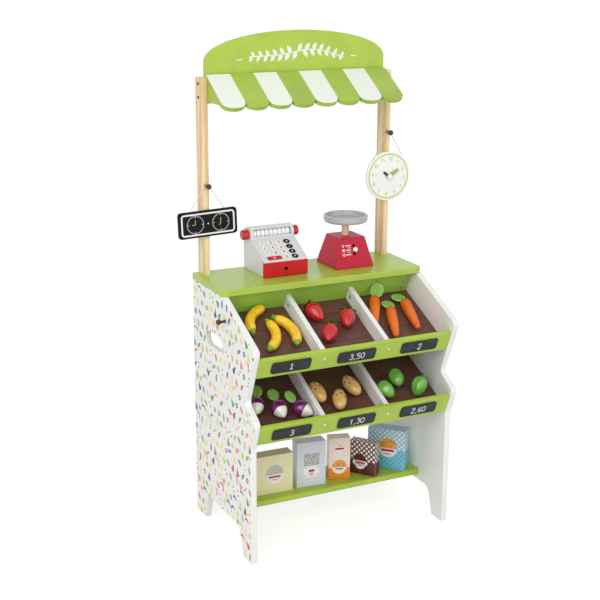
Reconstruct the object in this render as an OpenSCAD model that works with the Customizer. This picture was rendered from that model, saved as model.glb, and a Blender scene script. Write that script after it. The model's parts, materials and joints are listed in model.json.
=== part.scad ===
// Toy market stall: two profiled side panels carry a counter, two sloped produce trays and a shelf.
// Two posts hold an arched sign and a scalloped awning. A till, a scale, a clock, an hours board,
// wooden produce and small cartons complete the shop.
// Millimetres, +Z up, front towards -Y. The origin is on the floor, midway across the stall and
// midway between the side panels' back edges and their lower noses.

/* [Stall] */
// Width over the two side panels
stall_w = 530; // [500:1:580]
// Depth from the panels' back edges to the lower noses
stall_d = 360; // [352:1:390]
// Height of the counter's top face
counter_h = 616; // [600:1:650]
// Thickness of the side panels
panel_t = 15; // [14:0.5:18]

/* [Counter] */
// Thickness of the counter
counter_t = 16; // [14:0.5:20]
// Reach of the counter in front of the panels' back edges
counter_d = 186; // [176:1:196]
// Overhang of the counter behind the panels' back edges
counter_back = 4; // [2:0.5:10]
// Radius of the counter's front corners
counter_corner_r = 15; // [5:1:25]

/* [Side panels] */
// Reach of the feet in front of the panels' back edges
foot_d = 335; // [325:1:345]
// Length of the front foot on the floor
front_foot = 47; // [35:1:60]
// Length of the back foot on the floor
back_foot = 56; // [40:1:70]
// Height of the arch between the feet
arch_h = 68; // [50:1:76]
// Slant of the arch's two flanks
arch_slant = 21; // [10:1:30]
// Rise of the upper nose above its tray rail
upper_nose = 26; // [15:1:35]
// Rise of the lower nose above its tray rail
lower_nose = 15; // [10:1:20]
// Lead of the panels' front edge before the tray rails
edge_lead = 5; // [3:0.5:8]
// Depth of the notch below the upper tray rail
notch_fall = 66; // [50:1:75]
// Radius of the noses and the notch
nose_r = 13; // [6:1:16]
// Length of the hand slots
slot_l = 102; // [90:1:110]
// Height of the hand slots
slot_h = 34; // [28:1:40]
// Distance of the hand slots' middle from the back edges
slot_d = 126; // [118:1:130]
// Drop of the hand slots' middle below the counter's underside
slot_drop = 120; // [112:1:128]

/* [Trays] */
// Slope of the trays
tray_tilt = 24.5; // [20:0.5:26]
// Drop of the upper tray's rail foot below the counter's underside
upper_drop = 153; // [146:1:160]
// Height from the lower tray's rail foot to the upper one
tray_pitch = 157; // [148:1:164]
// Setback of the upper tray from the lower one
upper_setback = 4; // [2:1:12]
// Length of a tray base up the slope
tray_run = 204; // [196:1:210]
// Thickness of a tray base
tray_base_t = 12; // [10:0.5:15]
// Height of a tray's front rail
rail_h = 53; // [50:1:58]
// Thickness of the rails and back boards
rail_t = 10; // [8:0.5:14]
// Height of the dividers
divider_h = 35; // [30:1:40]
// Thickness of the dividers
divider_t = 12; // [10:0.5:16]
// Size of a corner block behind a back board: width, depth and height
block_size = [34, 18, 48];
// Length of a price slate
slate_l = 98; // [80:1:110]
// Height of a price slate
slate_h = 32; // [26:1:40]
// Thickness of a price slate
slate_t = 3; // [2:0.5:4]

/* [Shelf] */
// Height of the shelf's top face
shelf_z = 98; // [94:1:110]
// Thickness of the shelf
shelf_t = 16; // [12:0.5:18]
// Reach of the shelf in front of the panels' back edges
shelf_d = 225; // [215:1:240]
// Gap between the shelf and the panels' back edges
shelf_back = 107; // [95:1:115]

/* [Posts and awning] */
// Width of a post across the stall
post_w = 15; // [14:0.5:20]
// Depth of a post
post_d = 40; // [34:1:46]
// Height of the posts' tops
post_h = 1081; // [1060:1:1110]
// Length of a post below the counter
post_tail = 110; // [80:1:120]
// Thickness of the sign
sign_t = 12; // [9:0.5:15]
// Height of the sign's lower edge below the posts' tops
sign_drop = 61; // [55:1:70]
// Height of the sign's straight ends above the posts' tops
sign_end = 32; // [20:1:40]
// Rise of the sign's arch above its ends
sign_rise = 68; // [50:1:90]
// Slope of the awning
awning_tilt = 32; // [28:1:40]
// Length of the awning down its slope to the scallops
awning_run = 101; // [90:1:110]
// Depth of the scallops
scallop_h = 22; // [16:1:28]
// Number of stripes and scallops
scallops = 8; // [6:2:10]
// Thickness of the awning
awning_t = 12; // [8:0.5:14]
// Thickness of the cheeks that carry the awning
cheek_t = 12; // [9:0.5:15]

/* [Pegs and fasteners] */
// Radius of a peg's neck
peg_neck_r = 3; // [2.5:0.25:3.25]
// Radius of a peg's round head
peg_head_r = 6.5; // [5.5:0.5:8]
// Length of a peg in front of its board
peg_l = 23; // [21:1:28]
// Share of the free height above the hours board at which its peg stands
left_peg_share = 0.34; // [0.3:0.01:0.42]
// Share of the free height above the clock at which its peg stands
right_peg_share = 0.61; // [0.52:0.01:0.7]
// Distance of the left panel's peg from the back edges
side_peg_d = 198; // [185:1:215]
// Drop of the left panel's peg below the counter's underside
side_peg_drop = 52; // [40:1:62]
// Distance of a dowel from the end of its joint
dowel_inset = 30; // [20:1:40]
// Radius of the dowels
dowel_r = 3; // [2.5:0.25:4]
// Radius of a screw's shank
screw_r = 1.7; // [1.4:0.1:2.2]
// Radius of a screw's head
screw_head_r = 3.6; // [3:0.1:4.5]
// Radius of the barrel nuts in the dividers
nut_r = 4.5; // [3.5:0.25:5.5]
// Distance of a barrel nut from its divider's end
nut_inset = 18; // [14:1:24]

/* [Hours board] */
// Width of the hours board
hours_w = 148; // [134:1:154]
// Height of the hours board
hours_h = 63; // [56:1:66]
// Thickness of the hours board
hours_t = 7; // [6:0.5:7.5]
// Drop from the peg to the board's middle
hours_drop = 88; // [86:0.5:93]
// Tilt at which the board hangs
hours_tilt = 2; // [0:0.5:4]

/* [Clock] */
// Radius of the clock face
clock_r = 61.5; // [58:0.5:63]
// Thickness of the clock face
clock_t = 8; // [7:0.5:8.5]
// Drop from the peg to the clock's middle
clock_drop = 109; // [107:0.5:112]
// Length of the hour hand
hour_hand_l = 19; // [14:1:24]
// Length of the minute hand
minute_hand_l = 31; // [24:1:36]
// Thickness of a hand
hand_t = 2.4; // [1.6:0.2:3]
// Radius of the hands' pin
clock_pin_r = 2; // [1.5:0.25:2.5]

/* [Till] */
// Width of the till's body
till_w = 115; // [105:1:125]
// Depth of the till
till_d = 120; // [112:1:124]
// Height of the till's ridge
till_h = 106; // [100:1:116]
// Radius of the ridge round the number wheels
ridge_r = 19; // [17.5:0.5:22]
// Thickness of the till's walls
till_wall = 7; // [6:0.5:8]
// Height of the drawer's front
drawer_h = 35; // [32:1:38]
// Thickness of the drawer's front
drawer_front_t = 9; // [7:0.5:11]
// Thickness of the drawer's sides and floor
drawer_wall = 4.5; // [3.5:0.5:6]
// Radius of the finger hole
finger_r = 5; // [4:0.5:6]
// Number of wheels in the window
wheels = 9; // [7:1:10]
// Radius of the number wheels
wheel_r = 12; // [10.5:0.5:12.5]
// Radius of the wheels' shaft
shaft_r = 3; // [2.5:0.25:4]
// Radius of the till's knobs
knob_r = 12.5; // [9:0.5:13]
// Length of the till's knobs
knob_l = 16; // [12:1:18]
// Place of the till across the counter
till_x = -76; // [-90:1:-60]
// Distance of the till's front from the panels' back edges
till_front = 126; // [124:1:132]

/* [Scale] */
// Width of the scale's base at the counter
scale_w = 106; // [98:1:112]
// Width of the scale's base at its top
scale_top_w = 70; // [64:1:80]
// Height of the scale's base
scale_h = 73; // [66:1:80]
// Thickness of the base's walls
scale_wall = 8; // [6:0.5:9]
// Radius of the stem
stem_r = 9; // [6:0.5:10]
// Length of the stem between base and dish
stem_l = 34; // [26:1:40]
// Radius of the dish
dish_r = 54; // [48:1:57]
// Height of the dish
dish_h = 17; // [14:1:24]
// Thickness of the dish's rim
dish_rim = 7; // [4:0.5:8]
// Radius of the pointer's arc
pointer_arc_r = 20; // [17:1:22]
// Swing of the pointer to each side
pointer_swing = 32; // [20:1:36]
// Radius of the pointer's knob
pointer_knob_r = 6; // [5:0.5:7]
// Place of the scale across the counter
scale_x = 108; // [96:1:118]
// Distance of the scale's middle from the panels' back edges
scale_d = 77; // [72:1:84]

/* [Produce and cartons] */
// Radius of a banana
banana_r = 12; // [9:0.5:12.5]
// Radius of a banana's bend
banana_bend = 70; // [60:1:80]
// Length of a strawberry
strawberry_l = 60; // [50:1:62]
// Radius of a strawberry
strawberry_r = 19.5; // [17:0.5:20]
// Reach of a strawberry's leaves from its axis
strawberry_leaf_r = 23.5; // [20:0.5:24]
// Length of a carrot
carrot_l = 108; // [96:1:112]
// Radius of a carrot's shoulder
carrot_r = 13; // [11:0.5:14]
// Length of a turnip
turnip_l = 54; // [46:1:56]
// Radius of a turnip
turnip_r = 19; // [17:0.5:20]
// Length of a potato
potato_l = 63; // [54:1:65]
// Radius of a potato
potato_r = 17.5; // [15:0.5:18.5]
// Length of a pepper
pepper_l = 50; // [42:1:52]
// Radius of a pepper
pepper_r = 19; // [16:0.5:20]
// Radius of a pepper's stem at its foot
pepper_stem_r = 4.4; // [3:0.2:5]
// Length of a pepper's stem
pepper_stem_l = 13; // [10:1:16]
// Radius of a carrot's leaf
carrot_leaf_r = 18; // [15:0.5:18]
// Radius of a turnip's leaf
turnip_leaf_r = 15.5; // [13:0.5:17]
// Thickness of a leaf
leaf_t = 2.4; // [1.6:0.2:4]

/* [Hidden] */
$fn = 48;
// Clearance round dowels and screws
fit_gap = 0.1;
// Running clearance of pins in their bores
run_gap = 0.05;
// Clearance between pieces that move past each other
move_gap = 0.3;
// Overlap that lets a cut run clear through a face
eps = 0.5;

half_w = stall_w / 2;
inner = half_w - panel_t;
panel_h = counter_h - counter_t;
post_in = inner - post_w;
post_x = inner - post_w / 2;
post_front = stall_d / 2 - post_d;
// Y of a point a given distance in front of the panels' back edges
function fy(d) = stall_d / 2 - d;

upper_z = panel_h - upper_drop;
lower_z = upper_z - tray_pitch;
lower_d = stall_d - (rail_h + lower_nose) * sin(tray_tilt);
upper_d = lower_d - upper_setback;
tray_back_u = rail_t + tray_run;
// Height of the upper back board, up to the counter's underside
upper_back_h = (upper_drop - eps - (tray_back_u + rail_t) * sin(tray_tilt)) / cos(tray_tilt);
divider_x = inner / 3;
block_screw_x = inner - 19;
// Side view point of a tray: u up the slope from the rail's face, v square to the base
function tray_pt(d, z, u, v) =
    [fy(d) + u * cos(tray_tilt) - v * sin(tray_tilt), z + u * sin(tray_tilt) + v * cos(tray_tilt)];

sign_z = post_h - sign_drop;
sign_y = fy(post_d / 2) - sign_t / 2;
awning_z = post_h - awning_t * cos(awning_tilt) + 6;
cheek_z = sign_z + 5;
screw_len = 28;
tray_screw_l = rail_t + nut_inset;
nut_sink = 0.3;
screw_head_t = 1.8;
dowel_l = 24;
dowel_seat = 9;

// Pegs stand between the lowest place that keeps their board off the counter and the sign's edge
hours_low = counter_h + hours_drop + hours_h / 2;
left_peg_z = hours_low + left_peg_share * (sign_z - hours_low);
clock_low = counter_h + clock_drop + clock_r;
right_peg_z = clock_low + right_peg_share * (sign_z - clock_low);
hang_gap = 2;
cord_r = 0.8;
cord_hole_r = 1.7;
cord_hole_l = 9;
hours_y = post_front - hang_gap - hours_t / 2;
clock_y = post_front - hang_gap - clock_t / 2;
clock_front = clock_y - clock_t / 2;
// Routes of the two cords from hole to peg to hole: x and z from the peg's middle
hours_route = [[-49, -64.5], [-46, -60], [-24, -28], [-3.4, 2.3], [-1.9, 3.6], [0, 4.1],
               [1.9, 3.6], [3.4, 2.3], [23, -26], [44, -57], [47, -61.5]];
clock_route = [[-47, -72.5], [-44.4, -68], [-24, -33.1], [-3.6, 1.9], [-2, 3.6], [0, 4.1],
               [2, 3.6], [3.6, 1.9], [24, -33.1], [44.4, -68], [47, -72.5]];
cord_sides = 8;

ridge_back = 25;
ridge_y = till_d - ridge_back;
ridge_z = till_h - ridge_r;
wheel_space = till_w - 2 * till_wall;
wheel_gap = 1.4;
wheel_w = (wheel_space - 2) / wheels - wheel_gap;
window_h = 17;
window_tilt = 15;
drawer_lift = 0.8;
drawer_floor_z = 5;
drawer_inner_h = drawer_h - 8;
drawer_back = till_d - 14;
keypad_lip = 2;

scale_slope = (scale_w - scale_top_w) / 2 / scale_h;
scale_face_tilt = atan(scale_slope);
pivot_z = 44;
pivot_x = 5 - pointer_arc_r;
pointer_neck_r = 3;
pointer_arm_t = 3;
dish_z = scale_h + stem_l;

leaf_gap = 0.5;
pepper_stem_seat = 3.5;

lime = [0.67, 0.80, 0.25];
white = [0.95, 0.95, 0.93];
pine = [0.88, 0.76, 0.56];
chocolate = [0.29, 0.19, 0.15];
slate = [0.16, 0.16, 0.18];
steel = [0.75, 0.75, 0.77];
red = [0.78, 0.11, 0.15];
crimson = [0.74, 0.13, 0.22];
pale_grey = [0.80, 0.80, 0.81];
leaf_green = [0.48, 0.72, 0.33];

// Outline helpers: a corner is [x, y, r], and its arc has a few short chords
function unit(v) = v / norm(v);
function flat2(p) = [p[0], p[1]];
function corner_arc(p0, p1, p2, r, n) =
    let (a = unit(p0 - p1), b = unit(p2 - p1), h = acos(a * b) / 2)
    let (c = p1 + unit(a + b) * r / sin(h), s = p1 + a * r / tan(h) - c, e = p1 + b * r / tan(h) - c)
    let (a0 = atan2(s[1], s[0]), w = atan2(e[1], e[0]) - a0)
    let (turn = w > 180 ? w - 360 : w < -180 ? w + 360 : w)
    r == 0 ? [p1] : [for (k = [0:n]) c + r * [cos(a0 + turn * k / n), sin(a0 + turn * k / n)]];
function rounded(pts, n = 8) =
    [for (i = [0:len(pts) - 1])
        let (m = len(pts), before = flat2(pts[(i + m - 1) % m]), after = flat2(pts[(i + 1) % m]))
        each corner_arc(before, flat2(pts[i]), after, pts[i][2], n)];
function box_corners(w, h, r) =
    [[-w / 2, -h / 2, r], [w / 2, -h / 2, r], [w / 2, h / 2, r], [-w / 2, h / 2, r]];
function ellipse_pts(a, b, n) = [for (k = [0:n - 1]) [a * cos(360 * k / n), b * sin(360 * k / n)]];

// Extrusions of a side view along X, and of a front view along -Y from its back face
module along_x(x0, t) translate([x0, 0, 0]) rotate([90, 0, 90]) linear_extrude(t) children();
module along_y(y_back, t) translate([0, y_back, 0]) rotate([90, 0, 0]) linear_extrude(t) children();
module both_sides() {
    children();
    mirror([1, 0, 0]) children();
}
module rod_x(r, l) rotate([0, 90, 0]) cylinder(r = r, h = l);
module rod_front(r, l) rotate([90, 0, 0]) cylinder(r = r, h = l);
module in_upper_tray() translate([0, fy(upper_d), upper_z]) rotate([tray_tilt, 0, 0]) children();
module in_lower_tray() translate([0, fy(lower_d), lower_z]) rotate([tray_tilt, 0, 0]) children();
module in_each_tray() {
    in_upper_tray() children();
    in_lower_tray() children();
}

// Dowels between the boards, drawn again a little larger wherever a board is drilled for them
module dowels(r) {
    both_sides() {
        for (d = [dowel_inset, counter_d - dowel_inset])
            translate([half_w - panel_t / 2, fy(d), panel_h - dowel_l + dowel_seat])
                cylinder(r = r, h = dowel_l);
        for (d = [shelf_back + dowel_inset, shelf_d - dowel_inset])
            translate([inner - dowel_l + dowel_seat, fy(d), shelf_z - shelf_t / 2]) rod_x(r, dowel_l);
    }
    in_each_tray() both_sides()
        for (u = [rail_t + dowel_inset, tray_back_u - dowel_inset])
            translate([inner - dowel_l + dowel_seat, u, tray_base_t / 2]) rod_x(r, dowel_l);
}

// Screws stand along +Z of their own frame, with the head's flat at 0 and the shank below
module screw_shank(r, l) translate([0, 0, -l]) cylinder(r = r, h = l + eps);
module screw(l) {
    translate([0, 0, -l]) cylinder(r = screw_r, h = l);
    rotate_extrude() polygon(rounded([
        [0, 0, 0], [screw_head_r, 0, 0], [screw_head_r, screw_head_t, screw_head_t * 0.8], [0, screw_head_t, 0]]));
}
module at_tray_screws() {
    in_each_tray() for (x = [-divider_x, divider_x]) {
        translate([x, 0, tray_base_t + divider_h / 2]) rotate([90, 0, 0]) children();
        translate([x, tray_back_u + rail_t, tray_base_t + divider_h / 2]) rotate([-90, 0, 0]) children();
    }
}
module at_barrel_nuts() {
    in_each_tray() for (x = [-divider_x, divider_x], u = [rail_t + nut_inset, tray_back_u - nut_inset])
        translate([x - divider_t / 2, u, tray_base_t + divider_h / 2]) children();
}
module at_block_screws() {
    in_each_tray() both_sides() for (rise = [12, 30])
        translate([block_screw_x, tray_back_u, tray_base_t + rise]) rotate([90, 0, 0]) children();
}
module at_sign_screws() both_sides() for (drop = [15, 46])
    translate([inner, fy(post_d / 2), post_h - drop]) rotate([0, 90, 0]) children();
module at_tail_screws() both_sides() for (drop = [30, post_tail - 25])
    translate([post_in, fy(post_d / 2), panel_h - drop]) rotate([0, -90, 0]) children();
module at_pegs() {
    translate([-post_x, post_front, left_peg_z]) rotate([90, 0, 0]) children();
    translate([post_x, post_front, right_peg_z]) rotate([90, 0, 0]) children();
    translate([-half_w, fy(side_peg_d), panel_h - side_peg_drop]) rotate([0, -90, 0]) children();
}
module peg_holes() at_pegs() translate([0, 0, -dowel_seat - 1])
    cylinder(r = peg_neck_r + fit_gap, h = dowel_seat + 1 + eps);

// Carcass
module panel_outline() {
    top_d = counter_d - 1;
    upper_tip = tray_pt(upper_d, upper_z, 0, rail_h + upper_nose);
    notch = tray_pt(upper_d, upper_z, -edge_lead, -notch_fall);
    lower_tip = tray_pt(lower_d, lower_z, 0, rail_h + lower_nose);
    throat = tray_pt(lower_d, lower_z, -edge_lead, -2);
    arch_front = foot_d - front_foot;
    polygon(rounded([
        [fy(0), 0, 4], [fy(0), panel_h, 0], [fy(top_d), panel_h, 4],
        [upper_tip[0], upper_tip[1], nose_r], [notch[0], notch[1], nose_r],
        [lower_tip[0], lower_tip[1], nose_r], [throat[0], throat[1], nose_r],
        [fy(foot_d), 0, 6], [fy(arch_front), 0, 3], [fy(arch_front - arch_slant), arch_h, 25],
        [fy(back_foot + arch_slant), arch_h, 25], [fy(back_foot), 0, 3]]));
}
module hand_slot() {
    end = slot_l / 2 - slot_h / 2;
    translate([fy(slot_d), panel_h - slot_drop]) {
        square([2 * end, slot_h], center = true);
        for (s = [-1, 1]) translate([s * end, 0]) circle(slot_h / 2);
    }
}
module side_panel() color(white) difference() {
    along_x(inner, panel_t) panel_outline();
    along_x(inner - eps, panel_t + 2 * eps) hand_slot();
    dowels(dowel_r + fit_gap);
    at_tail_screws() screw_shank(screw_r + fit_gap, post_w + 10);
}
module right_side_panel() side_panel();
module left_side_panel() color(white) difference() {
    mirror([1, 0, 0]) side_panel();
    peg_holes();
}
module counter_top() color(lime) difference() {
    translate([0, 0, panel_h]) linear_extrude(counter_t) polygon(rounded([
        [-half_w, fy(-counter_back), 4], [half_w, fy(-counter_back), 4],
        [half_w, fy(counter_d), counter_corner_r], [-half_w, fy(counter_d), counter_corner_r]]));
    both_sides() translate([post_in - fit_gap, post_front - fit_gap, panel_h - eps])
        cube([post_w + 2 * fit_gap, post_d + 2 * fit_gap, counter_t + 2 * eps]);
    dowels(dowel_r + fit_gap);
}
module post() {
    foot_z = panel_h - post_tail;
    difference() {
        along_x(post_in, post_w) polygon(rounded([
            [fy(post_d), foot_z, 2], [fy(0), foot_z, 2], [fy(0), post_h, 7], [fy(post_d), post_h, 7]]));
        at_sign_screws() screw_shank(screw_r + fit_gap, screw_len + post_w);
        at_tail_screws() screw_shank(screw_r + fit_gap, post_w + 10);
    }
}
module left_post() color(pine) difference() {
    mirror([1, 0, 0]) post();
    peg_holes();
}
module right_post() color(pine) difference() {
    post();
    peg_holes();
}
module bottom_shelf() color(lime) difference() {
    along_x(-inner, 2 * inner) polygon(rounded([
        [fy(shelf_back), shelf_z - shelf_t, 1], [fy(shelf_back), shelf_z, 1],
        [fy(shelf_d), shelf_z, shelf_t * 0.4], [fy(shelf_d), shelf_z - shelf_t, shelf_t * 0.4]]));
    dowels(dowel_r + fit_gap);
}

// Sign and awning
module sign_outline() {
    end_z = post_h + sign_end;
    arch = [for (k = [0:40]) [post_in * cos(180 * k / 40), end_z + sign_rise * pow(sin(180 * k / 40), 0.94)]];
    polygon(concat([[-post_in, sign_z], [post_in, sign_z]], arch));
}
module sign_board() color(lime) difference() {
    along_y(sign_y + sign_t, sign_t) sign_outline();
    at_sign_screws() screw_shank(screw_r + fit_gap, screw_len + post_w);
}
module awning_outline() {
    lobe = post_in / scallops;
    edge = [for (i = [0:scallops - 1], k = [0:12])
        [-post_in + lobe * (2 * i + 1 - cos(15 * k)), -awning_run - scallop_h * pow(sin(15 * k), 0.8)]];
    polygon(concat([[post_in, 0], [-post_in, 0]], edge));
}
module awning_panel() color(lime)
    translate([0, sign_y, awning_z]) rotate([awning_tilt, 0, 0]) linear_extrude(awning_t) awning_outline();
module awning_cheek() color(lime) along_x(post_in - cheek_t, cheek_t) polygon([
    [sign_y, awning_z], [sign_y, cheek_z], [sign_y - (awning_z - cheek_z) / tan(awning_tilt), cheek_z]]);
module right_awning_cheek() awning_cheek();
module left_awning_cheek() mirror([1, 0, 0]) awning_cheek();

// Trays, each in its own frame: Y up the slope, Z square to the base
module tray_cuts() {
    dowels(dowel_r + fit_gap);
    at_tray_screws() screw_shank(screw_r + fit_gap, tray_screw_l + 1);
    at_block_screws() screw_shank(screw_r + fit_gap, screw_len);
}
module tray_base() translate([-inner, rail_t, 0]) cube([2 * inner, tray_run, tray_base_t]);
module tray_front() along_y(rail_t, rail_t) polygon([
    [-inner, 0], [inner, 0], [inner, rail_h], [-inner, rail_h]]);
module tray_back(h) translate([-inner, tray_back_u, 0]) cube([2 * inner, rail_t, h]);
module divider(side)
    translate([side * divider_x - divider_t / 2, rail_t, tray_base_t]) cube([divider_t, tray_run, divider_h]);
module drilled() difference() {
    children();
    tray_cuts();
}
module upper_tray_base() color(chocolate) drilled() in_upper_tray() tray_base();
module lower_tray_base() color(chocolate) drilled() in_lower_tray() tray_base();
module upper_tray_front() color(lime) drilled() in_upper_tray() tray_front();
module lower_tray_front() color(lime) drilled() in_lower_tray() tray_front();
module upper_tray_back() color(lime) drilled() in_upper_tray() tray_back(upper_back_h);
module lower_tray_back() color(lime) drilled() in_lower_tray() tray_back(rail_h);
module drilled_divider() color(white) difference() {
    children();
    tray_cuts();
    nut_holes();
}
module upper_left_divider() drilled_divider() in_upper_tray() divider(-1);
module upper_right_divider() drilled_divider() in_upper_tray() divider(1);
module lower_left_divider() drilled_divider() in_lower_tray() divider(-1);
module lower_right_divider() drilled_divider() in_lower_tray() divider(1);
module tray_corner_blocks() color(pine) difference() {
    in_each_tray() both_sides()
        translate([inner - block_size[0], tray_back_u + rail_t, 0]) cube(block_size);
    tray_cuts();
}
module price_slates() color(slate) in_each_tray() for (i = [-1:1])
    translate([i * 2 * divider_x, 0, rail_h / 2])
        along_y(0, slate_t) polygon(rounded(box_corners(slate_l, slate_h, 7)));

// Fasteners and pegs
module frame_dowels() color(pine) dowels(dowel_r);
module tray_screws() color(steel) at_tray_screws() screw(tray_screw_l);
module barrel_nuts() color(steel) difference() {
    at_barrel_nuts() translate([nut_sink, 0, 0]) rod_x(nut_r, divider_t - 2 * nut_sink);
    tray_cuts();
}
module nut_holes() at_barrel_nuts() translate([-eps, 0, 0]) rod_x(nut_r + fit_gap, divider_t + 2 * eps);
module block_screws() color(steel) at_block_screws() screw(screw_len - 1);
module post_screws() color(steel) {
    at_sign_screws() screw(screw_len + post_w - 1);
    at_tail_screws() screw(post_w + 9);
}
module hanging_pegs() color([0.30, 0.17, 0.13]) at_pegs() {
    translate([0, 0, -dowel_seat]) cylinder(r = peg_neck_r, h = dowel_seat + peg_l - peg_head_r);
    cylinder(r1 = peg_neck_r + 1.6, r2 = peg_neck_r, h = 2.5);
    translate([0, 0, peg_l - peg_head_r]) sphere(peg_head_r);
}

// Hanging hours board and clock
module cord_tube(route, y) {
    pts = [for (p = route) [p[0], y, p[1]]];
    last = len(pts) - 1;
    rings = [for (i = [0:last])
        let (d = unit(pts[min(i + 1, last)] - pts[max(i - 1, 0)]), side = [d[2], 0, -d[0]])
        [for (k = [0:cord_sides - 1]) pts[i] + cord_r * (side * cos(360 * k / cord_sides)
                                                          + [0, 1, 0] * sin(360 * k / cord_sides))]];
    polyhedron(
        points = [for (ring = rings) each ring],
        faces = concat(
            [for (i = [0:last - 1], k = [0:cord_sides - 1]) let (a = i * cord_sides, n = (k + 1) % cord_sides)
                [a + k, a + n, a + cord_sides + k]],
            [for (i = [0:last - 1], k = [0:cord_sides - 1]) let (a = i * cord_sides, n = (k + 1) % cord_sides)
                [a + n, a + cord_sides + n, a + cord_sides + k]],
            [for (k = [1:cord_sides - 2]) [0, k + 1, k]],
            [for (k = [1:cord_sides - 2]) let (a = last * cord_sides) [a, a + k, a + k + 1]]));
}
// Holes along the last stretch of a cord at both of its ends
module cord_holes(route, y) {
    n = len(route) - 1;
    for (ends = [[route[0], route[1]], [route[n], route[n - 1]]]) {
        d = unit(ends[1] - ends[0]);
        translate([ends[0][0] - d[0] * 2, y, ends[0][1] - d[1] * 2])
            rotate([0, atan2(d[0], d[1]), 0]) cylinder(r = cord_hole_r, h = cord_hole_l + 12);
    }
}
module at_left_peg() translate([-post_x, 0, left_peg_z]) children();
module at_right_peg() translate([post_x, 0, right_peg_z]) children();
module hours_board() color(slate) at_left_peg() difference() {
    translate([0, 0, -hours_drop]) rotate([0, -hours_tilt, 0])
        along_y(hours_y + hours_t / 2, hours_t) polygon(rounded(box_corners(hours_w, hours_h, 8)));
    cord_holes(hours_route, hours_y);
}
module hours_board_cord() color(white) at_left_peg() cord_tube(hours_route, hours_y);
module clock_face() color(white) at_right_peg() difference() {
    translate([0, clock_y + clock_t / 2, -clock_drop]) rod_front(clock_r, clock_t);
    translate([0, clock_y + clock_t, -clock_drop]) rod_front(clock_pin_r + fit_gap, 2 * clock_t);
    cord_holes(clock_route, clock_y);
}
module clock_cord() color(white) at_right_peg() cord_tube(clock_route, clock_y);
module at_clock_axis(y) translate([post_x, y, right_peg_z - clock_drop]) children();
module clock_hand(l, w, angle, y) at_clock_axis(y) rotate([0, angle, 0]) difference() {
    union() {
        rod_front(5, hand_t);
        along_y(0, hand_t) polygon(rounded([
            [-w * 0.62, -7, 1.5], [w * 0.62, -7, 1.5], [w, l * 0.7, 2], [w * 0.55, l, w * 0.5],
            [-w * 0.55, l, w * 0.5], [-w, l * 0.7, 2]]));
    }
    translate([0, eps, 0]) rod_front(clock_pin_r + run_gap, hand_t + 2 * eps);
}
hour_hand_y = clock_front - move_gap;
minute_hand_y = hour_hand_y - hand_t - move_gap;
clock_knob_y = minute_hand_y - hand_t - move_gap;
module clock_hour_hand() color(chocolate) clock_hand(hour_hand_l, 3.4, -52, hour_hand_y);
module clock_minute_hand() color(lime) clock_hand(minute_hand_l, 3.8, 58, minute_hand_y);
module clock_pin() color(white) {
    at_clock_axis(clock_y + clock_t / 2) rod_front(clock_pin_r, clock_y + clock_t / 2 - clock_knob_y + 1);
    at_clock_axis(clock_knob_y) rotate([90, 0, 0]) rotate_extrude()
        polygon(rounded([[0, 0, 0], [6.5, 0, 0.5], [6.5, 4.5, 2.5], [0, 4.5, 0]]));
}

// Till, in its own frame: Y back from the drawer's face, Z up from the counter
module at_till() translate([till_x, fy(till_front), counter_h + move_gap]) children();
till_face = drawer_front_t + move_gap;
lip_z = drawer_lift + drawer_h + 0.4;
module till_outline() {
    polygon([[till_face, 0], [till_d, 0], [till_d, till_h - 9], [ridge_y + 4, till_h - 0.5],
             [ridge_y, ridge_z], [ridge_y - ridge_r + 4, ridge_z - 6], [0, lip_z + keypad_lip], [0, lip_z],
             [till_face, lip_z]]);
    translate([ridge_y, ridge_z]) circle(ridge_r);
}
module register_body() color(pale_grey) at_till() difference() {
    along_x(-till_w / 2, till_w) till_outline();
    translate([-wheel_space / 2, ridge_y, ridge_z]) {
        rod_x(wheel_r + 1.2, wheel_space);
        rotate([-window_tilt, 0, 0]) translate([0, -ridge_r - 10, -window_h / 2])
            cube([wheel_space, ridge_r + 10, window_h]);
    }
    translate([-till_w / 2 - eps, ridge_y, ridge_z]) rod_x(shaft_r + run_gap, till_w + 2 * eps);
    translate([-wheel_space / 2, 0, drawer_floor_z - 0.4])
        cube([wheel_space, drawer_back + 2, drawer_inner_h + 0.8]);
}
module register_drawer() color(pine) at_till() difference() {
    drawer_w = wheel_space - 2 * move_gap;
    translate([-drawer_w / 2, drawer_front_t, drawer_floor_z])
        cube([drawer_w, drawer_back - drawer_front_t, drawer_inner_h]);
    translate([-drawer_w / 2 + drawer_wall, drawer_front_t - eps, drawer_floor_z + drawer_wall])
        cube([drawer_w - 2 * drawer_wall, drawer_back - drawer_front_t - drawer_wall + eps, drawer_inner_h]);
}
module register_drawer_front() color(red) at_till() difference() {
    translate([0, 0, drawer_lift + drawer_h / 2])
        along_y(drawer_front_t, drawer_front_t) polygon(rounded(box_corners(till_w, drawer_h, 2)));
    translate([0, drawer_front_t + eps, drawer_lift + drawer_h / 2])
        rod_front(finger_r, drawer_front_t + 2 * eps);
}
module at_roller() at_till() translate([0, ridge_y, ridge_z]) children();
module register_roller_shaft() color(pine) at_roller()
    translate([-till_w / 2 - knob_l + 4, 0, 0]) rod_x(shaft_r, till_w + 2 * knob_l - 8);
module register_number_wheels() color(white) at_roller() for (i = [0:wheels - 1])
    translate([(i + 0.5 - wheels / 2) * (wheel_w + wheel_gap), 0, 0]) rotate([0, 90, 0]) rotate_extrude()
        polygon(rounded([[shaft_r + run_gap, -wheel_w / 2, 0], [wheel_r, -wheel_w / 2, 2],
                         [wheel_r, wheel_w / 2, 2], [shaft_r + run_gap, wheel_w / 2, 0]]));
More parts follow.
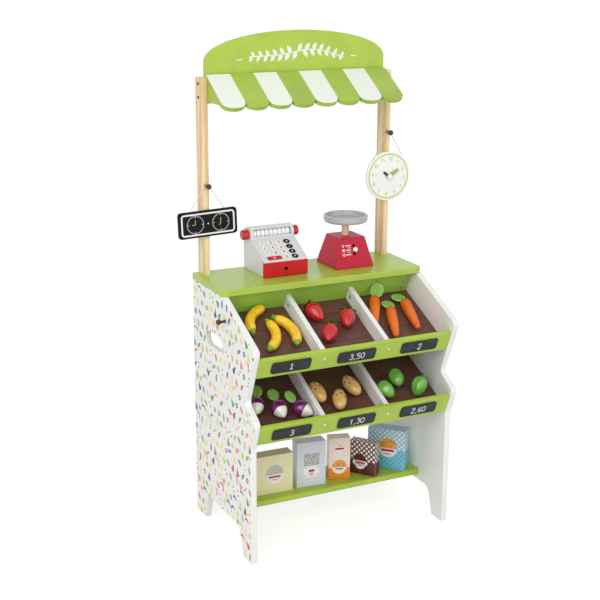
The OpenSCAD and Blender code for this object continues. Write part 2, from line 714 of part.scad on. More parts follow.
module register_knobs() color(red) at_roller() both_sides()
    translate([till_w / 2 + move_gap, 0, 0]) rotate([0, 90, 0]) difference() {
        rotate_extrude() polygon(rounded([[0, 0, 0], [knob_r, 0, 1], [knob_r, knob_l, 3], [0, knob_l, 0]]));
        translate([0, 0, -eps]) cylinder(r = shaft_r + run_gap, h = knob_l - 4 + eps);
    }

// Scale, in its own frame: the middle of its base on the counter
module at_scale() translate([scale_x, fy(scale_d), counter_h + move_gap]) children();
module taper_outline(inset, top) {
    side = inset * sqrt(1 + scale_slope * scale_slope);
    polygon([[-scale_w / 2 + side, 0], [scale_w / 2 - side, 0],
             [scale_w / 2 - side - scale_slope * top, top], [-scale_w / 2 + side + scale_slope * top, top]]);
}
module taper(inset, top) intersection() {
    along_x(-scale_w / 2, scale_w) taper_outline(inset, top);
    along_y(scale_w / 2, scale_w) taper_outline(inset, top);
}
// Frame on the scale's front face, at the pointer's pivot, with Z out of the face
module on_face() translate([pivot_x, -scale_w / 2 + scale_slope * pivot_z, pivot_z])
    rotate([90 - scale_face_tilt, 0, 0]) children();
module arc_slot(r, w, swing) {
    rotate([0, 0, -swing]) rotate_extrude(angle = 2 * swing)
        translate([r - w, -scale_wall - 1]) square([2 * w, scale_wall + 2]);
    for (s = [-1, 1]) rotate([0, 0, s * swing]) translate([r, 0, -scale_wall - 1])
        cylinder(r = w, h = scale_wall + 2);
}
pivot_pin_r = 3;
module scale_base() color(crimson) at_scale() {
    difference() {
        taper(0, scale_h);
        translate([0, 0, -eps]) taper(scale_wall, scale_h - scale_wall + eps);
        translate([0, 0, scale_h - scale_wall - eps])
            cylinder(r = stem_r + fit_gap, h = scale_wall + 2 * eps);
        on_face() arc_slot(pointer_arc_r, pointer_neck_r + move_gap, pointer_swing);
    }
    on_face() translate([0, 0, -scale_wall - pointer_arm_t - 2])
        cylinder(r = pivot_pin_r, h = pointer_arm_t + 2 + eps);
}
module scale_stem() color(pine) at_scale() translate([0, 0, scale_h - scale_wall])
    cylinder(r = stem_r, h = scale_wall + stem_l);
module scale_dish() color([0.62, 0.63, 0.65]) at_scale() translate([0, 0, dish_z]) rotate_extrude()
    polygon(rounded([
        [0, 0, 0], [dish_r - 2.5, 0, 3], [dish_r, dish_h * 0.3, 3], [dish_r, dish_h, 2],
        [dish_r - dish_rim, dish_h, 2], [dish_r - dish_rim - 2, 5, 5], [0, 5, 0]]));
module scale_pointer() color(white) at_scale() on_face() {
    translate([pointer_arc_r, 0, move_gap]) rotate_extrude()
        polygon(rounded([[0, 0, 0], [pointer_knob_r, 0, 0.6], [pointer_knob_r, 5, 3], [0, 5, 0]]));
    translate([pointer_arc_r, 0, -scale_wall - move_gap - 1])
        cylinder(r = pointer_neck_r, h = scale_wall + 2 * move_gap + 1.5);
    translate([0, 0, -scale_wall - move_gap - pointer_arm_t]) linear_extrude(pointer_arm_t) difference() {
        union() {
            circle(6);
            translate([0, -4]) square([pointer_arc_r, 8]);
            translate([pointer_arc_r, 0]) circle(4);
        }
        circle(pivot_pin_r + run_gap);
    }
}

// Cartons on the shelf: a corner is [x, distance behind the shelf's front edge]
cream_size = [103, 33, 100];
cream_corner = [-197, 27];
grey_size = [75, 34, 116];
grey_corner = [-81, 28];
pink_size = [54, 30, 108];
pink_corner = [13, 41];
brown_size = [70, 24, 88];
brown_corner = [81, 58];
blue_size = [98, 36, 106];
blue_corner = [142, 75];
module carton(corner, turn, size)
    translate([corner[0], fy(shelf_d - corner[1]), shelf_z + move_gap]) rotate([0, 0, turn]) cube(size);
module cream_carton() color([0.86, 0.82, 0.62]) carton(cream_corner, -2, cream_size);
module grey_carton() color([0.72, 0.74, 0.77]) carton(grey_corner, -6, grey_size);
module pink_carton() color([0.93, 0.75, 0.66]) carton(pink_corner, -16, pink_size);
module brown_carton() color([0.35, 0.16, 0.13]) carton(brown_corner, -52, brown_size);
module blue_carton() color([0.50, 0.72, 0.80]) carton(blue_corner, -48, blue_size);

// Produce in the trays: a spot is [x from the compartment's middle, u up the slope], a turn lies in the tray
each_fruit = [0:2];
module lying(bay, spot, turn, r)
    translate([2 * divider_x * bay + spot[0], spot[1], tray_base_t + r + move_gap])
        rotate([0, 0, turn]) children();
module turned(l, pts) rotate([0, 90, 0]) rotate_extrude() polygon(concat([[0, 0]], pts, [[0, l]]));
steps = 18;
function bulge(l, r, k, e) =
    [for (i = [1:steps - 1]) [r * pow(sin(180 * pow(i / steps, k)), e), l * i / steps]];

banana_arc = 62;
module banana() translate([-banana_bend, 0, 0]) {
    rotate([0, 0, -banana_arc / 2]) rotate_extrude(angle = banana_arc)
        translate([banana_bend, 0]) circle(banana_r);
    for (s = [-1, 1]) rotate([0, 0, s * banana_arc / 2])
        translate([banana_bend, 0, 0]) rotate([-90 * s, 0, 0]) {
            translate([0, 0, -eps])
                cylinder(r1 = banana_r * 0.97, r2 = banana_r * 0.55, h = banana_r * 1.35 + eps);
            cylinder(r = banana_r * 0.52, h = banana_r * 1.75);
        }
}
banana_spots = [[-25, 176], [9, 104], [56, 121]];
banana_turns = [143, -20, 10];
module bananas() color([0.95, 0.80, 0.15]) in_upper_tray()
    for (i = each_fruit) lying(-1, banana_spots[i], banana_turns[i], banana_r) banana();

strawberry_spots = [[-29, 127], [20, 94], [-49, 55]];
strawberry_turns = [104, 64, 58];
module at_strawberries() in_upper_tray()
    for (i = each_fruit) lying(0, strawberry_spots[i], strawberry_turns[i], strawberry_r) children();
module strawberry(grow) translate([-grow, 0, 0])
    turned(strawberry_l + 2 * grow, bulge(strawberry_l + 2 * grow, strawberry_r + grow, 1.25, 0.5));
module strawberries() color(red) at_strawberries() strawberry(0);
// Star of five felt leaves that fall a little from the strawberry's end, one of them straight up
leaf_fall = 0.35;
module strawberry_leaves() color(leaf_green) at_strawberries() difference() {
    intersection() {
        translate([strawberry_l + leaf_gap, 0, 0]) rotate([0, 90, 0]) rotate_extrude() polygon([
            [0, 0], [strawberry_leaf_r, -leaf_fall * strawberry_leaf_r],
            [strawberry_leaf_r, leaf_t - leaf_fall * strawberry_leaf_r], [0, leaf_t]]);
        translate([strawberry_l / 2, 0, 0]) rotate([90, 0, 90]) linear_extrude(strawberry_l)
            for (a = [0:72:288]) rotate(90 + a) polygon(strawberry_leaf_r * [
                [0, -0.16], [0.45, -0.24], [0.99, 0], [0.45, 0.24], [0, 0.16]]);
    }
    strawberry(leaf_gap);
}

carrot_spots = [[-70, 93], [-38, 42], [31, 58]];
carrot_turns = [64, 71, 82];
carrot_leaf_lifts = [54, -10, -10];
carrot_leaf_turns = [-14, 8, 30];
function carrot_swell(t) = pow(t, 0.26) * pow(1 - pow(t, 12), 0.5);
carrot_swell_max = max([for (i = [1:steps - 1]) carrot_swell(i / steps)]);
function carrot_pts(l, r) =
    [for (i = [1:steps - 1]) [r * carrot_swell(i / steps) / carrot_swell_max, l * i / steps]];
module carrot(grow) translate([-grow, 0, 0])
    turned(carrot_l + 2 * grow, carrot_pts(carrot_l + 2 * grow, carrot_r + grow));
module carrots() color([0.93, 0.45, 0.12]) in_upper_tray()
    for (i = each_fruit) lying(1, carrot_spots[i], carrot_turns[i], carrot_r) carrot(0);
module carrot_leaves() color(leaf_green) in_upper_tray() for (i = each_fruit)
    lying(1, carrot_spots[i], carrot_turns[i], carrot_r) difference() {
        translate([carrot_l - 3, 0, 0]) rotate([0, -carrot_leaf_lifts[i], carrot_leaf_turns[i]])
            translate([carrot_leaf_r, 0, -leaf_t / 2]) linear_extrude(leaf_t)
                polygon(ellipse_pts(carrot_leaf_r, carrot_leaf_r * 0.9, 40));
        carrot(leaf_gap);
    }

turnip_spots = [[-50, 92], [-1, 70], [53, 58]];
turnip_turns = [70, 92, 128];
turnip_leaf_lifts = [14, 14, 25];
module turnip(grow) translate([-turnip_l / 2 - grow, 0, 0])
    turned(turnip_l + 2 * grow, bulge(turnip_l + 2 * grow, turnip_r + grow, 1.25, 0.55));
module turnips() color([0.45, 0.12, 0.40]) in_lower_tray()
    for (i = each_fruit) lying(-1, turnip_spots[i], turnip_turns[i], turnip_r) turnip(0);
module turnip_leaves() color(leaf_green) in_lower_tray() for (i = each_fruit)
    lying(-1, turnip_spots[i], turnip_turns[i], turnip_r) difference() {
        rotate([0, -turnip_leaf_lifts[i], 0]) translate([turnip_l / 2 + turnip_leaf_r - 2, 0, -leaf_t / 2])
            linear_extrude(leaf_t) polygon(ellipse_pts(turnip_leaf_r, turnip_leaf_r * 0.92, 40));
        turnip(leaf_gap);
    }

potato_spots = [[-53, 104], [-11, 70], [39, 107]];
potato_turns = [94, 70, 102];
module potatoes() color([0.86, 0.68, 0.38]) in_lower_tray() for (i = each_fruit)
    lying(0, potato_spots[i], potato_turns[i], potato_r) translate([-potato_l / 2, 0, 0])
        turned(potato_l, bulge(potato_l, potato_r, 1, 0.42));

pepper_spots = [[-49, 74], [-4, 107], [38, 67]];
pepper_turns = [105, 82, 52];
// Lift of each pepper's stem end
pepper_leans = [4, 4, 36];
pepper_pts = bulge(pepper_l, pepper_r, 1.2, 0.4);
// Reach of a leaning pepper towards its tray
function pepper_seat(lean) =
    max([for (p = pepper_pts) p[0] * cos(lean) - (p[1] - pepper_l / 2) * sin(lean)]);
module at_peppers() in_lower_tray() for (i = each_fruit)
    lying(1, pepper_spots[i], pepper_turns[i], pepper_seat(pepper_leans[i]))
        rotate([0, -pepper_leans[i], 0]) children();
module pepper_stem(grow) translate([pepper_l / 2 - pepper_stem_seat - grow, 0, 0]) rotate([0, 90, 0])
    cylinder(r1 = pepper_stem_r + grow, r2 = pepper_stem_r * 0.6 + grow, h = pepper_stem_l + 2 * grow);
module peppers() color([0.40, 0.70, 0.25]) at_peppers() difference() {
    translate([-pepper_l / 2, 0, 0]) turned(pepper_l, pepper_pts);
    pepper_stem(fit_gap);
}
module pepper_stems() color([0.16, 0.36, 0.16]) at_peppers() pepper_stem(0);

left_side_panel();
right_side_panel();
counter_top();
left_post();
right_post();
sign_board();
awning_panel();
left_awning_cheek();
right_awning_cheek();
upper_tray_base();
upper_tray_back();
upper_left_divider();
upper_right_divider();
upper_tray_front();
lower_tray_base();
lower_tray_back();
lower_left_divider();
lower_right_divider();
lower_tray_front();
tray_corner_blocks();
price_slates();
bottom_shelf();
hanging_pegs();
post_screws();
tray_screws();
block_screws();
barrel_nuts();
frame_dowels();
hours_board();
hours_board_cord();
clock_face();
clock_cord();
clock_hour_hand();
clock_minute_hand();
clock_pin();
register_body();
register_drawer();
register_drawer_front();
register_roller_shaft();
register_number_wheels();
register_knobs();
scale_base();
scale_stem();
scale_dish();
scale_pointer();
cream_carton();
grey_carton();
pink_carton();
brown_carton();
blue_carton();
bananas();
strawberries();
strawberry_leaves();
carrots();
carrot_leaves();
turnips();
turnip_leaves();
potatoes();
peppers();
pepper_stems();
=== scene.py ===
# %% [markdown]
# # A toy market stall
# The stall is a play shop of painted boards, about 1.2 metres tall: a counter on two profiled side
# panels, two sloped trays, a shelf, and two pine posts under a sign and an awning.
# The exact solids come from the packed frame, in metres with +Z up. This lesson dresses them:
# rounded edges, paint, print, produce and string, all made from code.

# %% Load the packed frame
import json
import math
import random

import bmesh
import bpy
from mathutils import Matrix, Vector


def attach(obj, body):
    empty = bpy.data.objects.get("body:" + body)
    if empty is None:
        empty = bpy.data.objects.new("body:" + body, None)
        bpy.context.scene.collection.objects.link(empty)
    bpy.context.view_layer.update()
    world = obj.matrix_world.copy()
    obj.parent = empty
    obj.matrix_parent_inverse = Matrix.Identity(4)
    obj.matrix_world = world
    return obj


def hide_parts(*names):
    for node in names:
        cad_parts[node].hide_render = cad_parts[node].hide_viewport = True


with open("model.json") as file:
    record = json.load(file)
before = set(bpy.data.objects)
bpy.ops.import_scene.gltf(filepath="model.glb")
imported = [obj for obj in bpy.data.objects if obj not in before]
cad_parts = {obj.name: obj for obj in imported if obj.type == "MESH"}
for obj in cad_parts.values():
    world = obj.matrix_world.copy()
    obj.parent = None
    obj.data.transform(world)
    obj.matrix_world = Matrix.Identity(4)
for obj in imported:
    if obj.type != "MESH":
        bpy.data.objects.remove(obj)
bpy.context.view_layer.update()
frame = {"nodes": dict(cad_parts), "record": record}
nodes = frame["nodes"]
record = frame["record"]
MM = 0.001
body_of_node = {n: body for body, names in record["behaviour"]["bodies"].items() for n in names}
slot_of_node = {row["node"]: row["material_slot"] for row in record["subparts"]}

# %% [markdown]
# ## The camera
# A picture is matched by three things: where the camera stands, which way it looks, and its lens.
# Here the view comes from the left and a little above, from about 2.9 metres, with a long lens, so
# upright edges stay nearly parallel. The camera's own axes are the columns of its matrix.

# %% The camera
AZIMUTH, ELEVATION, ROLL = -26.3688, 15.8533, 0.264
AIM, DISTANCE = (-66.378, 0.0, 569.727), 2900.647
SENSOR_WIDTH, LENS = 36.0, 74.01
azimuth, elevation, roll = (math.radians(a) for a in (AZIMUTH, ELEVATION, ROLL))
backward = Vector((
    math.sin(azimuth) * math.cos(elevation),
    -math.cos(azimuth) * math.cos(elevation),
    math.sin(elevation)))
level_right = Vector((0, 0, 1)).cross(backward).normalized()
level_up = backward.cross(level_right)
right = level_right * math.cos(roll) + level_up * math.sin(roll)
up = level_up * math.cos(roll) - level_right * math.sin(roll)
camera_data = bpy.data.cameras.new("stall_camera")
camera_data.sensor_fit = "HORIZONTAL"
camera_data.sensor_width = SENSOR_WIDTH
camera_data.lens = LENS
camera_data.clip_end = 100.0
camera = bpy.data.objects.new("stall_camera", camera_data)
camera.matrix_world = Matrix((right, up, backward)).transposed().to_4x4()
camera.location = Vector(AIM) * MM + backward * DISTANCE * MM
bpy.context.scene.collection.objects.link(camera)
bpy.context.scene.camera = camera
bpy.context.scene.view_settings.view_transform = "Standard"
print("camera at", [round(c, 3) for c in camera.location])

# %% [markdown]
# ## Sockets as numbers
# A material is a net of nodes, and wiring it by hand hides the idea behind it. A small class that
# holds one output socket can stand for the value there: adding two of them adds an Add node.
# So a pattern reads as a formula. Every node of another kind comes from the one method `node`.

# %% Sockets as numbers
class Field:
    """An output socket that takes part in Python arithmetic."""

    def __init__(self, tree, socket=None):
        self.tree = tree
        self.socket = socket

    def node(self, kind, settings=(), inputs=(), out=0, stops=()):
        made = self.tree.nodes.new(kind)
        for name, value in dict(settings).items():
            setattr(made, name, value)
        for i, (place, colour) in enumerate(stops):
            ramp = made.color_ramp.elements
            stop = ramp[i] if i < len(ramp) else ramp.new(place)
            stop.position, stop.color = place, (*colour, 1.0)
        for key, value in dict(inputs).items():
            if isinstance(value, Field):
                self.tree.links.new(value.socket, made.inputs[key])
            else:
                made.inputs[key].default_value = value
        return Field(self.tree, made.outputs[out])

    def maths(self, operation, *others):
        return self.node("ShaderNodeMath", {"operation": operation}, enumerate((self, *others)))

    def reflected(self, operation, other):
        return self.node("ShaderNodeMath", {"operation": operation}, {0: other, 1: self})

    def __add__(self, other):
        return self.maths("ADD", other)

    def __sub__(self, other):
        return self.maths("SUBTRACT", other)

    def __rsub__(self, other):
        return self.reflected("SUBTRACT", other)

    def __mul__(self, other):
        return self.maths("MULTIPLY", other)

    def __truediv__(self, other):
        return self.maths("DIVIDE", other)

    def __rtruediv__(self, other):
        return self.reflected("DIVIDE", other)

    def __gt__(self, other):
        return self.maths("GREATER_THAN", other)

    def __lt__(self, other):
        return self.maths("LESS_THAN", other)

    def __abs__(self):
        return self.maths("ABSOLUTE")

    __radd__ = __add__
    __rmul__ = __mul__


print("Field has", len([m for m in vars(Field) if m.startswith("__")]), "operators and names")

# %% [markdown]
# ## Masks and mixes
# A mask is a field that is 0 or 1. The smaller of two masks is where both hold, and the larger is
# where either does. Colours are blended by a Mix node, because a Math node would turn them grey.

# %% Masks and mixes
def both(a, b):
    return a.maths("MINIMUM", b)


def either(a, b):
    return a.maths("MAXIMUM", b)


def blend(amount, low, high):
    """Mixes two colours: low where amount is 0, high where it is 1."""
    low, high = (c if isinstance(c, Field) else (*c, 1.0) for c in (low, high))
    return amount.node("ShaderNodeMix", {"data_type": "RGBA"}, {0: amount, 6: low, 7: high}, out=2)


def ramp_between(value, low, high):
    """Runs smoothly from 0 at low to 1 at high."""
    return value.node("ShaderNodeMapRange", {"interpolation_type": "SMOOTHSTEP"},
                      {"Value": value, "From Min": low, "From Max": high})


print("masks and mixes:", [f.__name__ for f in (both, either, blend, ramp_between)])

# %% [markdown]
# ## Studio light
# The stall stands in an even, bright studio. An evenly pale world lights every side, one wide lamp
# from the left and above gives the shapes a soft direction, and a weaker one opens the shadows.
# To the camera, and in mirrors, the world is plain white.

# %% Studio light
AMBIENT = 0.62
LAMPS_LOOK_AT = (0, 0, 0.6)


def seen_directly(root):
    """1 for camera, mirror and glass rays, 0 for the rays that only carry light."""
    camera_ray, mirror_ray, glass_ray = (
        root.node("ShaderNodeLightPath", out=f"Is {kind} Ray")
        for kind in ("Camera", "Glossy", "Transmission"))
    return either(camera_ray, either(mirror_ray, glass_ray))


world = bpy.data.worlds.new("studio")
bpy.context.scene.world = world
world.use_nodes = True
sky = Field(world.node_tree)
glow = seen_directly(sky) * (1.0 - AMBIENT) + AMBIENT
world.node_tree.links.new(glow.socket, world.node_tree.nodes["Background"].inputs["Strength"])
world.node_tree.nodes["Background"].inputs["Color"].default_value = (1.0, 1.0, 1.0, 1.0)


def soft_lamp(name, direction, distance, size, watts):
    data = bpy.data.lights.new(name, "AREA")
    data.size = size
    data.energy = watts
    lamp = bpy.data.objects.new(name, data)
    towards = Vector(direction).normalized()
    lamp.location = Vector(LAMPS_LOOK_AT) + towards * distance
    lamp.rotation_euler = towards.to_track_quat("Z", "Y").to_euler()
    bpy.context.scene.collection.objects.link(lamp)


soft_lamp("key_lamp", direction=(-0.9, -0.95, 0.82), distance=3.2, size=2.4, watts=48.0)
soft_lamp("fill_lamp", direction=(0.6, -1.0, 0.3), distance=3.4, size=2.6, watts=17.0)

# %% [markdown]
# ## The floor
# The floor looks white, because its own glow is added for camera, mirror and glass rays. Its diffuse
# part still darkens where the stall keeps the light away, so the soft shadow stays. For all other
# rays it is a plain pale floor, which throws light back on the stall as a real one does.

# %% The floor
FLOOR_HALF, FLOOR_DROP = 30.0, 0.0004
FLOOR_BOUNCE, FLOOR_SHADE, FLOOR_LIFT = 0.8, 0.6, 0.635
floor_mesh = bpy.data.meshes.new("floor")
corners = [(x * FLOOR_HALF, y * FLOOR_HALF, 0) for x, y in ((-1, -1), (1, -1), (1, 1), (-1, 1))]
floor_mesh.from_pydata(corners, [], [(0, 1, 2, 3)])
floor = bpy.data.objects.new("floor", floor_mesh)
floor.location.z = -FLOOR_DROP
bpy.context.scene.collection.objects.link(floor)
floor_paint = bpy.data.materials.new("studio_floor")
floor_paint.use_nodes = True
floor_tree = floor_paint.node_tree
floor_tree.nodes.remove(floor_tree.nodes["Principled BSDF"])
ground = Field(floor_tree)
ground_seen = seen_directly(ground)
tone = blend(ground_seen, (FLOOR_BOUNCE,) * 3, (FLOOR_SHADE,) * 3)
matt = ground.node("ShaderNodeBsdfDiffuse", inputs={"Color": tone})
lift = ground.node("ShaderNodeEmission", inputs={"Strength": ground_seen * FLOOR_LIFT})
surface = ground.node("ShaderNodeAddShader", inputs={0: matt, 1: lift})
floor_tree.links.new(surface.socket, floor_tree.nodes["Material Output"].inputs["Surface"])
floor_mesh.materials.append(floor_paint)
print("floor", 2 * FLOOR_HALF, "metres wide")

# %% [markdown]
# ## Finishes begin with a coordinate
# Each finish starts from the piece's own coordinates, so that paint and grain travel with it.
# `finish` opens a material and hands over that coordinate. `noise` and `parts` are the two nodes
# that nearly every finish needs: a cloudy value, and the coordinate split into x, y and z.

# %% Opening a finish
def socket_of(shader, name):
    """The shader's socket for a name such as coat_weight."""
    return shader.inputs[name.replace("_", " ").title().replace("Ior", "IOR")]


def finish(name, **fixed):
    """A new material: the material, its coordinate as a Field and its shader."""
    material = bpy.data.materials.new(name)
    material.use_nodes = True
    shader = material.node_tree.nodes["Principled BSDF"]
    for socket, value in fixed.items():
        socket_of(shader, socket).default_value = value
    at = Field(material.node_tree).node("ShaderNodeTexCoord", out="Object")
    return material, at, shader


def feed(shader, **links):
    """Links what changes over the surface to the shader."""
    for socket, value in links.items():
        value.tree.links.new(value.socket, socket_of(shader, socket))


def parts(at):
    return [at.node("ShaderNodeSeparateXYZ", inputs={0: at}, out=i) for i in range(3)]


def stretched(at, scale):
    return at.node("ShaderNodeMapping", inputs={"Vector": at, "Scale": scale})


def noise(at, scale, detail=2.0, rough=0.5):
    return at.node("ShaderNodeTexNoise", {"noise_dimensions": "3D"},
                   {"Vector": at, "Scale": scale, "Detail": detail, "Roughness": rough})


def bumped(shader, height, strength, distance):
    """Relief from a height field; distance is its depth in millimetres."""
    feed(shader, normal=height.node("ShaderNodeBump", inputs={
        "Height": height, "Strength": strength, "Distance": distance * MM}))


def rgb(r, g, b):
    """A colour as a screen shows it (0 to 255), turned into the linear values that light uses."""
    return tuple((c / 255 / 12.92) if c <= 10 else ((c / 255 + 0.055) / 1.055) ** 2.4
                 for c in (r, g, b))


print("mid grey of a screen is", round(rgb(128, 128, 128)[0], 3), "as light")

# %% [markdown]
# ## Two strings that carry the signs
# The hours board and the clock each hang from a peg by a thin white string that leaves one hole in
# the top edge, goes over the peg and comes back into a second hole. Each is taut under the board's
# weight, so its sides are straight, and they touch the peg's circle where a tangent does. Between
# those two points the string follows the circle. A curve with a round bevel keeps its exact length.

# %% Two strings
STRING_R, STRING_BEND, STRING_TWIST = 0.8, 4.1, 5200.0
PEG_X = 242.5
LEFT_PEG_Z, RIGHT_PEG_Z = 832.23, 928.935
HOURS_Y, CLOCK_Y = 134.5, 134.0
string_finish, at, shader = finish("white_string", roughness=0.85)
x, y, z = parts(at)
twist = ((x + z) * STRING_TWIST).maths("SINE") * 0.5 + 0.5
# painted shade: the string's colour darkens in the grooves of its twist, where the same sine sinks the
# bump
feed(shader, base_color=blend(twist, rgb(196, 193, 184), rgb(240, 238, 232)))
bumped(shader, twist, 0.6, 0.25)


def over_peg(left_end, right_end, side_points=7, top_points=9):
    """Points of a taut string over a peg at the origin, as x and z."""
    left, right = Vector(left_end), Vector(right_end)
    leave = math.atan2(left.y, left.x) % (2 * math.pi) - math.acos(STRING_BEND / left.length)
    arrive = math.atan2(right.y, right.x) + math.acos(STRING_BEND / right.length)
    top = [Vector((math.cos(a), math.sin(a))) * STRING_BEND
           for a in (leave + (arrive - leave) * k / (top_points - 1) for k in range(top_points))]
    climb = [left.lerp(top[0], k / side_points) for k in range(side_points)]
    fall = [top[-1].lerp(right, (k + 1) / side_points) for k in range(side_points)]
    return climb + top + fall


def hang_string(name, node, ends, peg, body):
    """A string from one hole over its peg to the other; the ends are measured from the peg."""
    line = [Vector((peg[0] + p.x, peg[1], peg[2] + p.y)) * MM for p in over_peg(*ends)]
    curve = bpy.data.curves.new(name, "CURVE")
    curve.dimensions = "3D"
    curve.bevel_depth = STRING_R * MM
    curve.bevel_resolution = 3
    curve.use_fill_caps = True
    spline = curve.splines.new("POLY")
    spline.points.add(len(line) - 1)
    for point, p in zip(spline.points, line):
        point.co = (*p, 1.0)
    string = bpy.data.objects.new(name, curve)
    bpy.context.scene.collection.objects.link(string)
    curve.materials.append(string_finish)
    length = sum((b - a).length for a, b in zip(line, line[1:]))
    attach(string, body)
    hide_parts(node)
    tuple(line[0])
    print(name, "is", round(length / MM, 1), "mm long")


hang_string("hours_string", "hours_board_cord", ends=((-49, -64.5), (47, -61.5)),
            peg=(-PEG_X, HOURS_Y, LEFT_PEG_Z), body="hours_sign")
hang_string("clock_string", "clock_cord", ends=((-47, -72.5), (47, -72.5)),
            peg=(PEG_X, CLOCK_Y, RIGHT_PEG_Z), body="clock")

# %% [markdown]
# ## Painted boards
# The boards are fibreboard under a smooth sprayed paint. Such paint isn't one flat colour: it has
# faint clouds of tone, a fine orange-peel skin, and a gloss that varies a little. All three are
# cloudy noise at different sizes, so one function makes the lime, white and dark paints.

# %% Painted boards
def shade(colour, amount):
    return tuple(c * amount for c in colour)


CLOUD_SCALE, SKIN_SCALE = 14.0, 620.0


def pooled(value, low, high, top=0.62):
    """Two tones that pool into each other where a cloudy value rises."""
    return blend(ramp_between(value, 0.3, top), low, high)


def paint_surface(at, shader, gloss):
    """Links the gloss and the skin of sprayed paint, and hands back its clouds."""
    clouds = noise(at, CLOUD_SCALE, 4.0)
    feed(shader, roughness=clouds * 0.12 + (gloss - 0.06))
    bumped(shader, noise(at, SKIN_SCALE), 0.10, 0.12)
    return clouds


def board_paint(name, colour, gloss=0.34, coat=0.0, tone=0.9, shine=0.5):
    material, at, shader = finish(
        name, coat_weight=coat, coat_roughness=0.06, specular_ior_level=shine)
    clouds = paint_surface(at, shader, gloss)
    feed(shader, base_color=pooled(clouds, shade(colour, tone), colour))
    return material


WHITE, WHITE_TONE = rgb(243, 243, 240), 0.965
lime_paint = board_paint("lime_paint", rgb(173, 200, 64))
# painted shade: the tray backs get a greener copy of the lime, standing for the green cast of the shade
# under the counter and the upper tray
tray_back_shade_paint = board_paint("tray_back_painted_shade_lime_paint", rgb(164, 208, 84))
counter_paint = board_paint("counter_lime_lacquer", rgb(170, 198, 68), gloss=0.32, coat=0.2)
white_paint = board_paint("white_board_paint", WHITE, tone=WHITE_TONE)
gloss_white = board_paint("gloss_white_paint", rgb(246, 246, 244), gloss=0.2, coat=0.3,
                          tone=0.97)
print("board paints:", [m.name for m in bpy.data.materials if "paint" in m.name])

# %% [markdown]
# ## Pine posts
# The posts, and a few small pieces, are clear lacquered pine. Sawn pine shows long, nearly straight
# streaks along the grain, some thin and dark. Noise that is squeezed along one axis gives them, and
# a sine of the coordinate, bent by slow noise, gives the growth rings between.

# %% Pine
GRAIN_ACROSS, GRAIN_ALONG = 16.0, 0.8


def pine_finish(name, along):
    material, at, shader = finish(name, coat_weight=0.15, coat_roughness=0.25)
    lie = stretched(at, [GRAIN_ALONG if axis == along else GRAIN_ACROSS for axis in "xyz"])
    drift = noise(lie, 2.4, 3.0)
    x, y, z = parts(lie)
    rings = ((x * 1.3 + y * 0.9 + z * 0.4 + drift * 2.2) * 9.0).maths("SINE") * 0.5 + 0.5
    fibre = noise(lie, 30.0, 3.0, 0.7)
    grain = rings * 0.55 + fibre * 0.45
    pale = ramp_between(grain, 0.18, 0.85)
    feed(shader, base_color=blend(pale, rgb(220, 184, 130), rgb(244, 220, 176)),
         roughness=fibre * 0.2 + 0.36)
    bumped(shader, fibre, 0.2, 0.12)
    return material


pine_up = pine_finish("pine_along_z", "z")
pine_across = pine_finish("pine_along_x", "x")
pine_deep = pine_finish("pine_along_y", "y")
print("pine:", [m.name for m in (pine_up, pine_across, pine_deep)])

# %% [markdown]
# ## Stain, blackboard, steel and turned dark wood
# The tray bases are stained dark brown and dull, the slates carry matt blackboard paint with rubbed
# chalk dust, and the pegs are dark turned wood. The tray screws are bright steel and those of the
# posts are blackened, both with a fine brushed turn. Each is noise, stretched as its maker worked.

# %% Stain, blackboard, steel and dark wood
BOARD_GRAIN, TURNED_GRAIN = (3.0, 60.0, 60.0), (40.0, 40.0, 40.0)


def stained(name, low, high, gloss, along):
    material, at, shader = finish(name)
    streak = noise(stretched(at, along), 3.0, 5.0, 0.65)
    feed(shader, base_color=blend(ramp_between(streak, 0.25, 0.75), low, high),
         roughness=streak * 0.25 + gloss)
    bumped(shader, streak, 0.25, 0.2)
    return material


def screw_steel(name, metallic, low, high, gloss):
    material, at, shader = finish(name, metallic=metallic)
    turned = noise(stretched(at, (900.0, 900.0, 120.0)), 1.0, 3.0)
    feed(shader, base_color=blend(turned, low, high), roughness=turned * 0.2 + gloss)
    return material


brown_stain = stained("brown_stain", rgb(82, 51, 40), rgb(116, 75, 61), 0.42, BOARD_GRAIN)
dark_wood = stained("dark_turned_wood", rgb(52, 26, 18), rgb(88, 46, 32), 0.3, TURNED_GRAIN)
blackboard, at, shader = finish("blackboard_paint", specular_ior_level=0.3)
dust = noise(stretched(at, (26.0, 40.0, 60.0)), 1.0, 5.0, 0.7)
feed(shader, base_color=blend(ramp_between(dust, 0.35, 0.8), rgb(36, 37, 40), rgb(66, 67, 71)),
     roughness=dust * 0.25 + 0.5)
bumped(shader, noise(at, 1500.0), 0.2, 0.1)
steel = screw_steel("bright_screw_steel", 1.0, rgb(176, 178, 182), rgb(226, 228, 230), 0.18)
black_steel = screw_steel("black_screw_steel", 0.6, rgb(44, 42, 42), rgb(78, 76, 76), 0.3)
print("finishes so far:", len(bpy.data.materials))

# %% [markdown]
# ## Boards with eased edges
# A real board never has a knife edge: paint rounds it by about a millimetre, and that thin rounding
# catches the light. A copy of each CAD board is welded, its flat triangles are joined, and its long
# edges are beveled. Small drilled holes are left alone, because their edge loops are short.

# %% How a board is eased
WELD, FLAT_DEGREES, SHARP_DEGREES = 2e-6, 0.8, 28.0


def edge_loops(edges):
    """Groups sharp edges that touch each other."""
    left = set(edges)
    while left:
        group, front = [], [left.pop()]
        while front:
            edge = front.pop()
            group.append(edge)
            touching = {e for v in edge.verts for e in v.link_edges} & left
            left -= touching
            front += touching
        yield group


def settle(obj, node, material, body=None, slot=None):
    """Gives a new piece its finish and its body, and hides the CAD node that it stands for."""
    bpy.context.scene.collection.objects.link(obj)
    obj.data.materials.append(material)
    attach(obj, body or body_of_node[node])
    slot or slot_of_node[node]
    if node:
        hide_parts(node)
    return obj


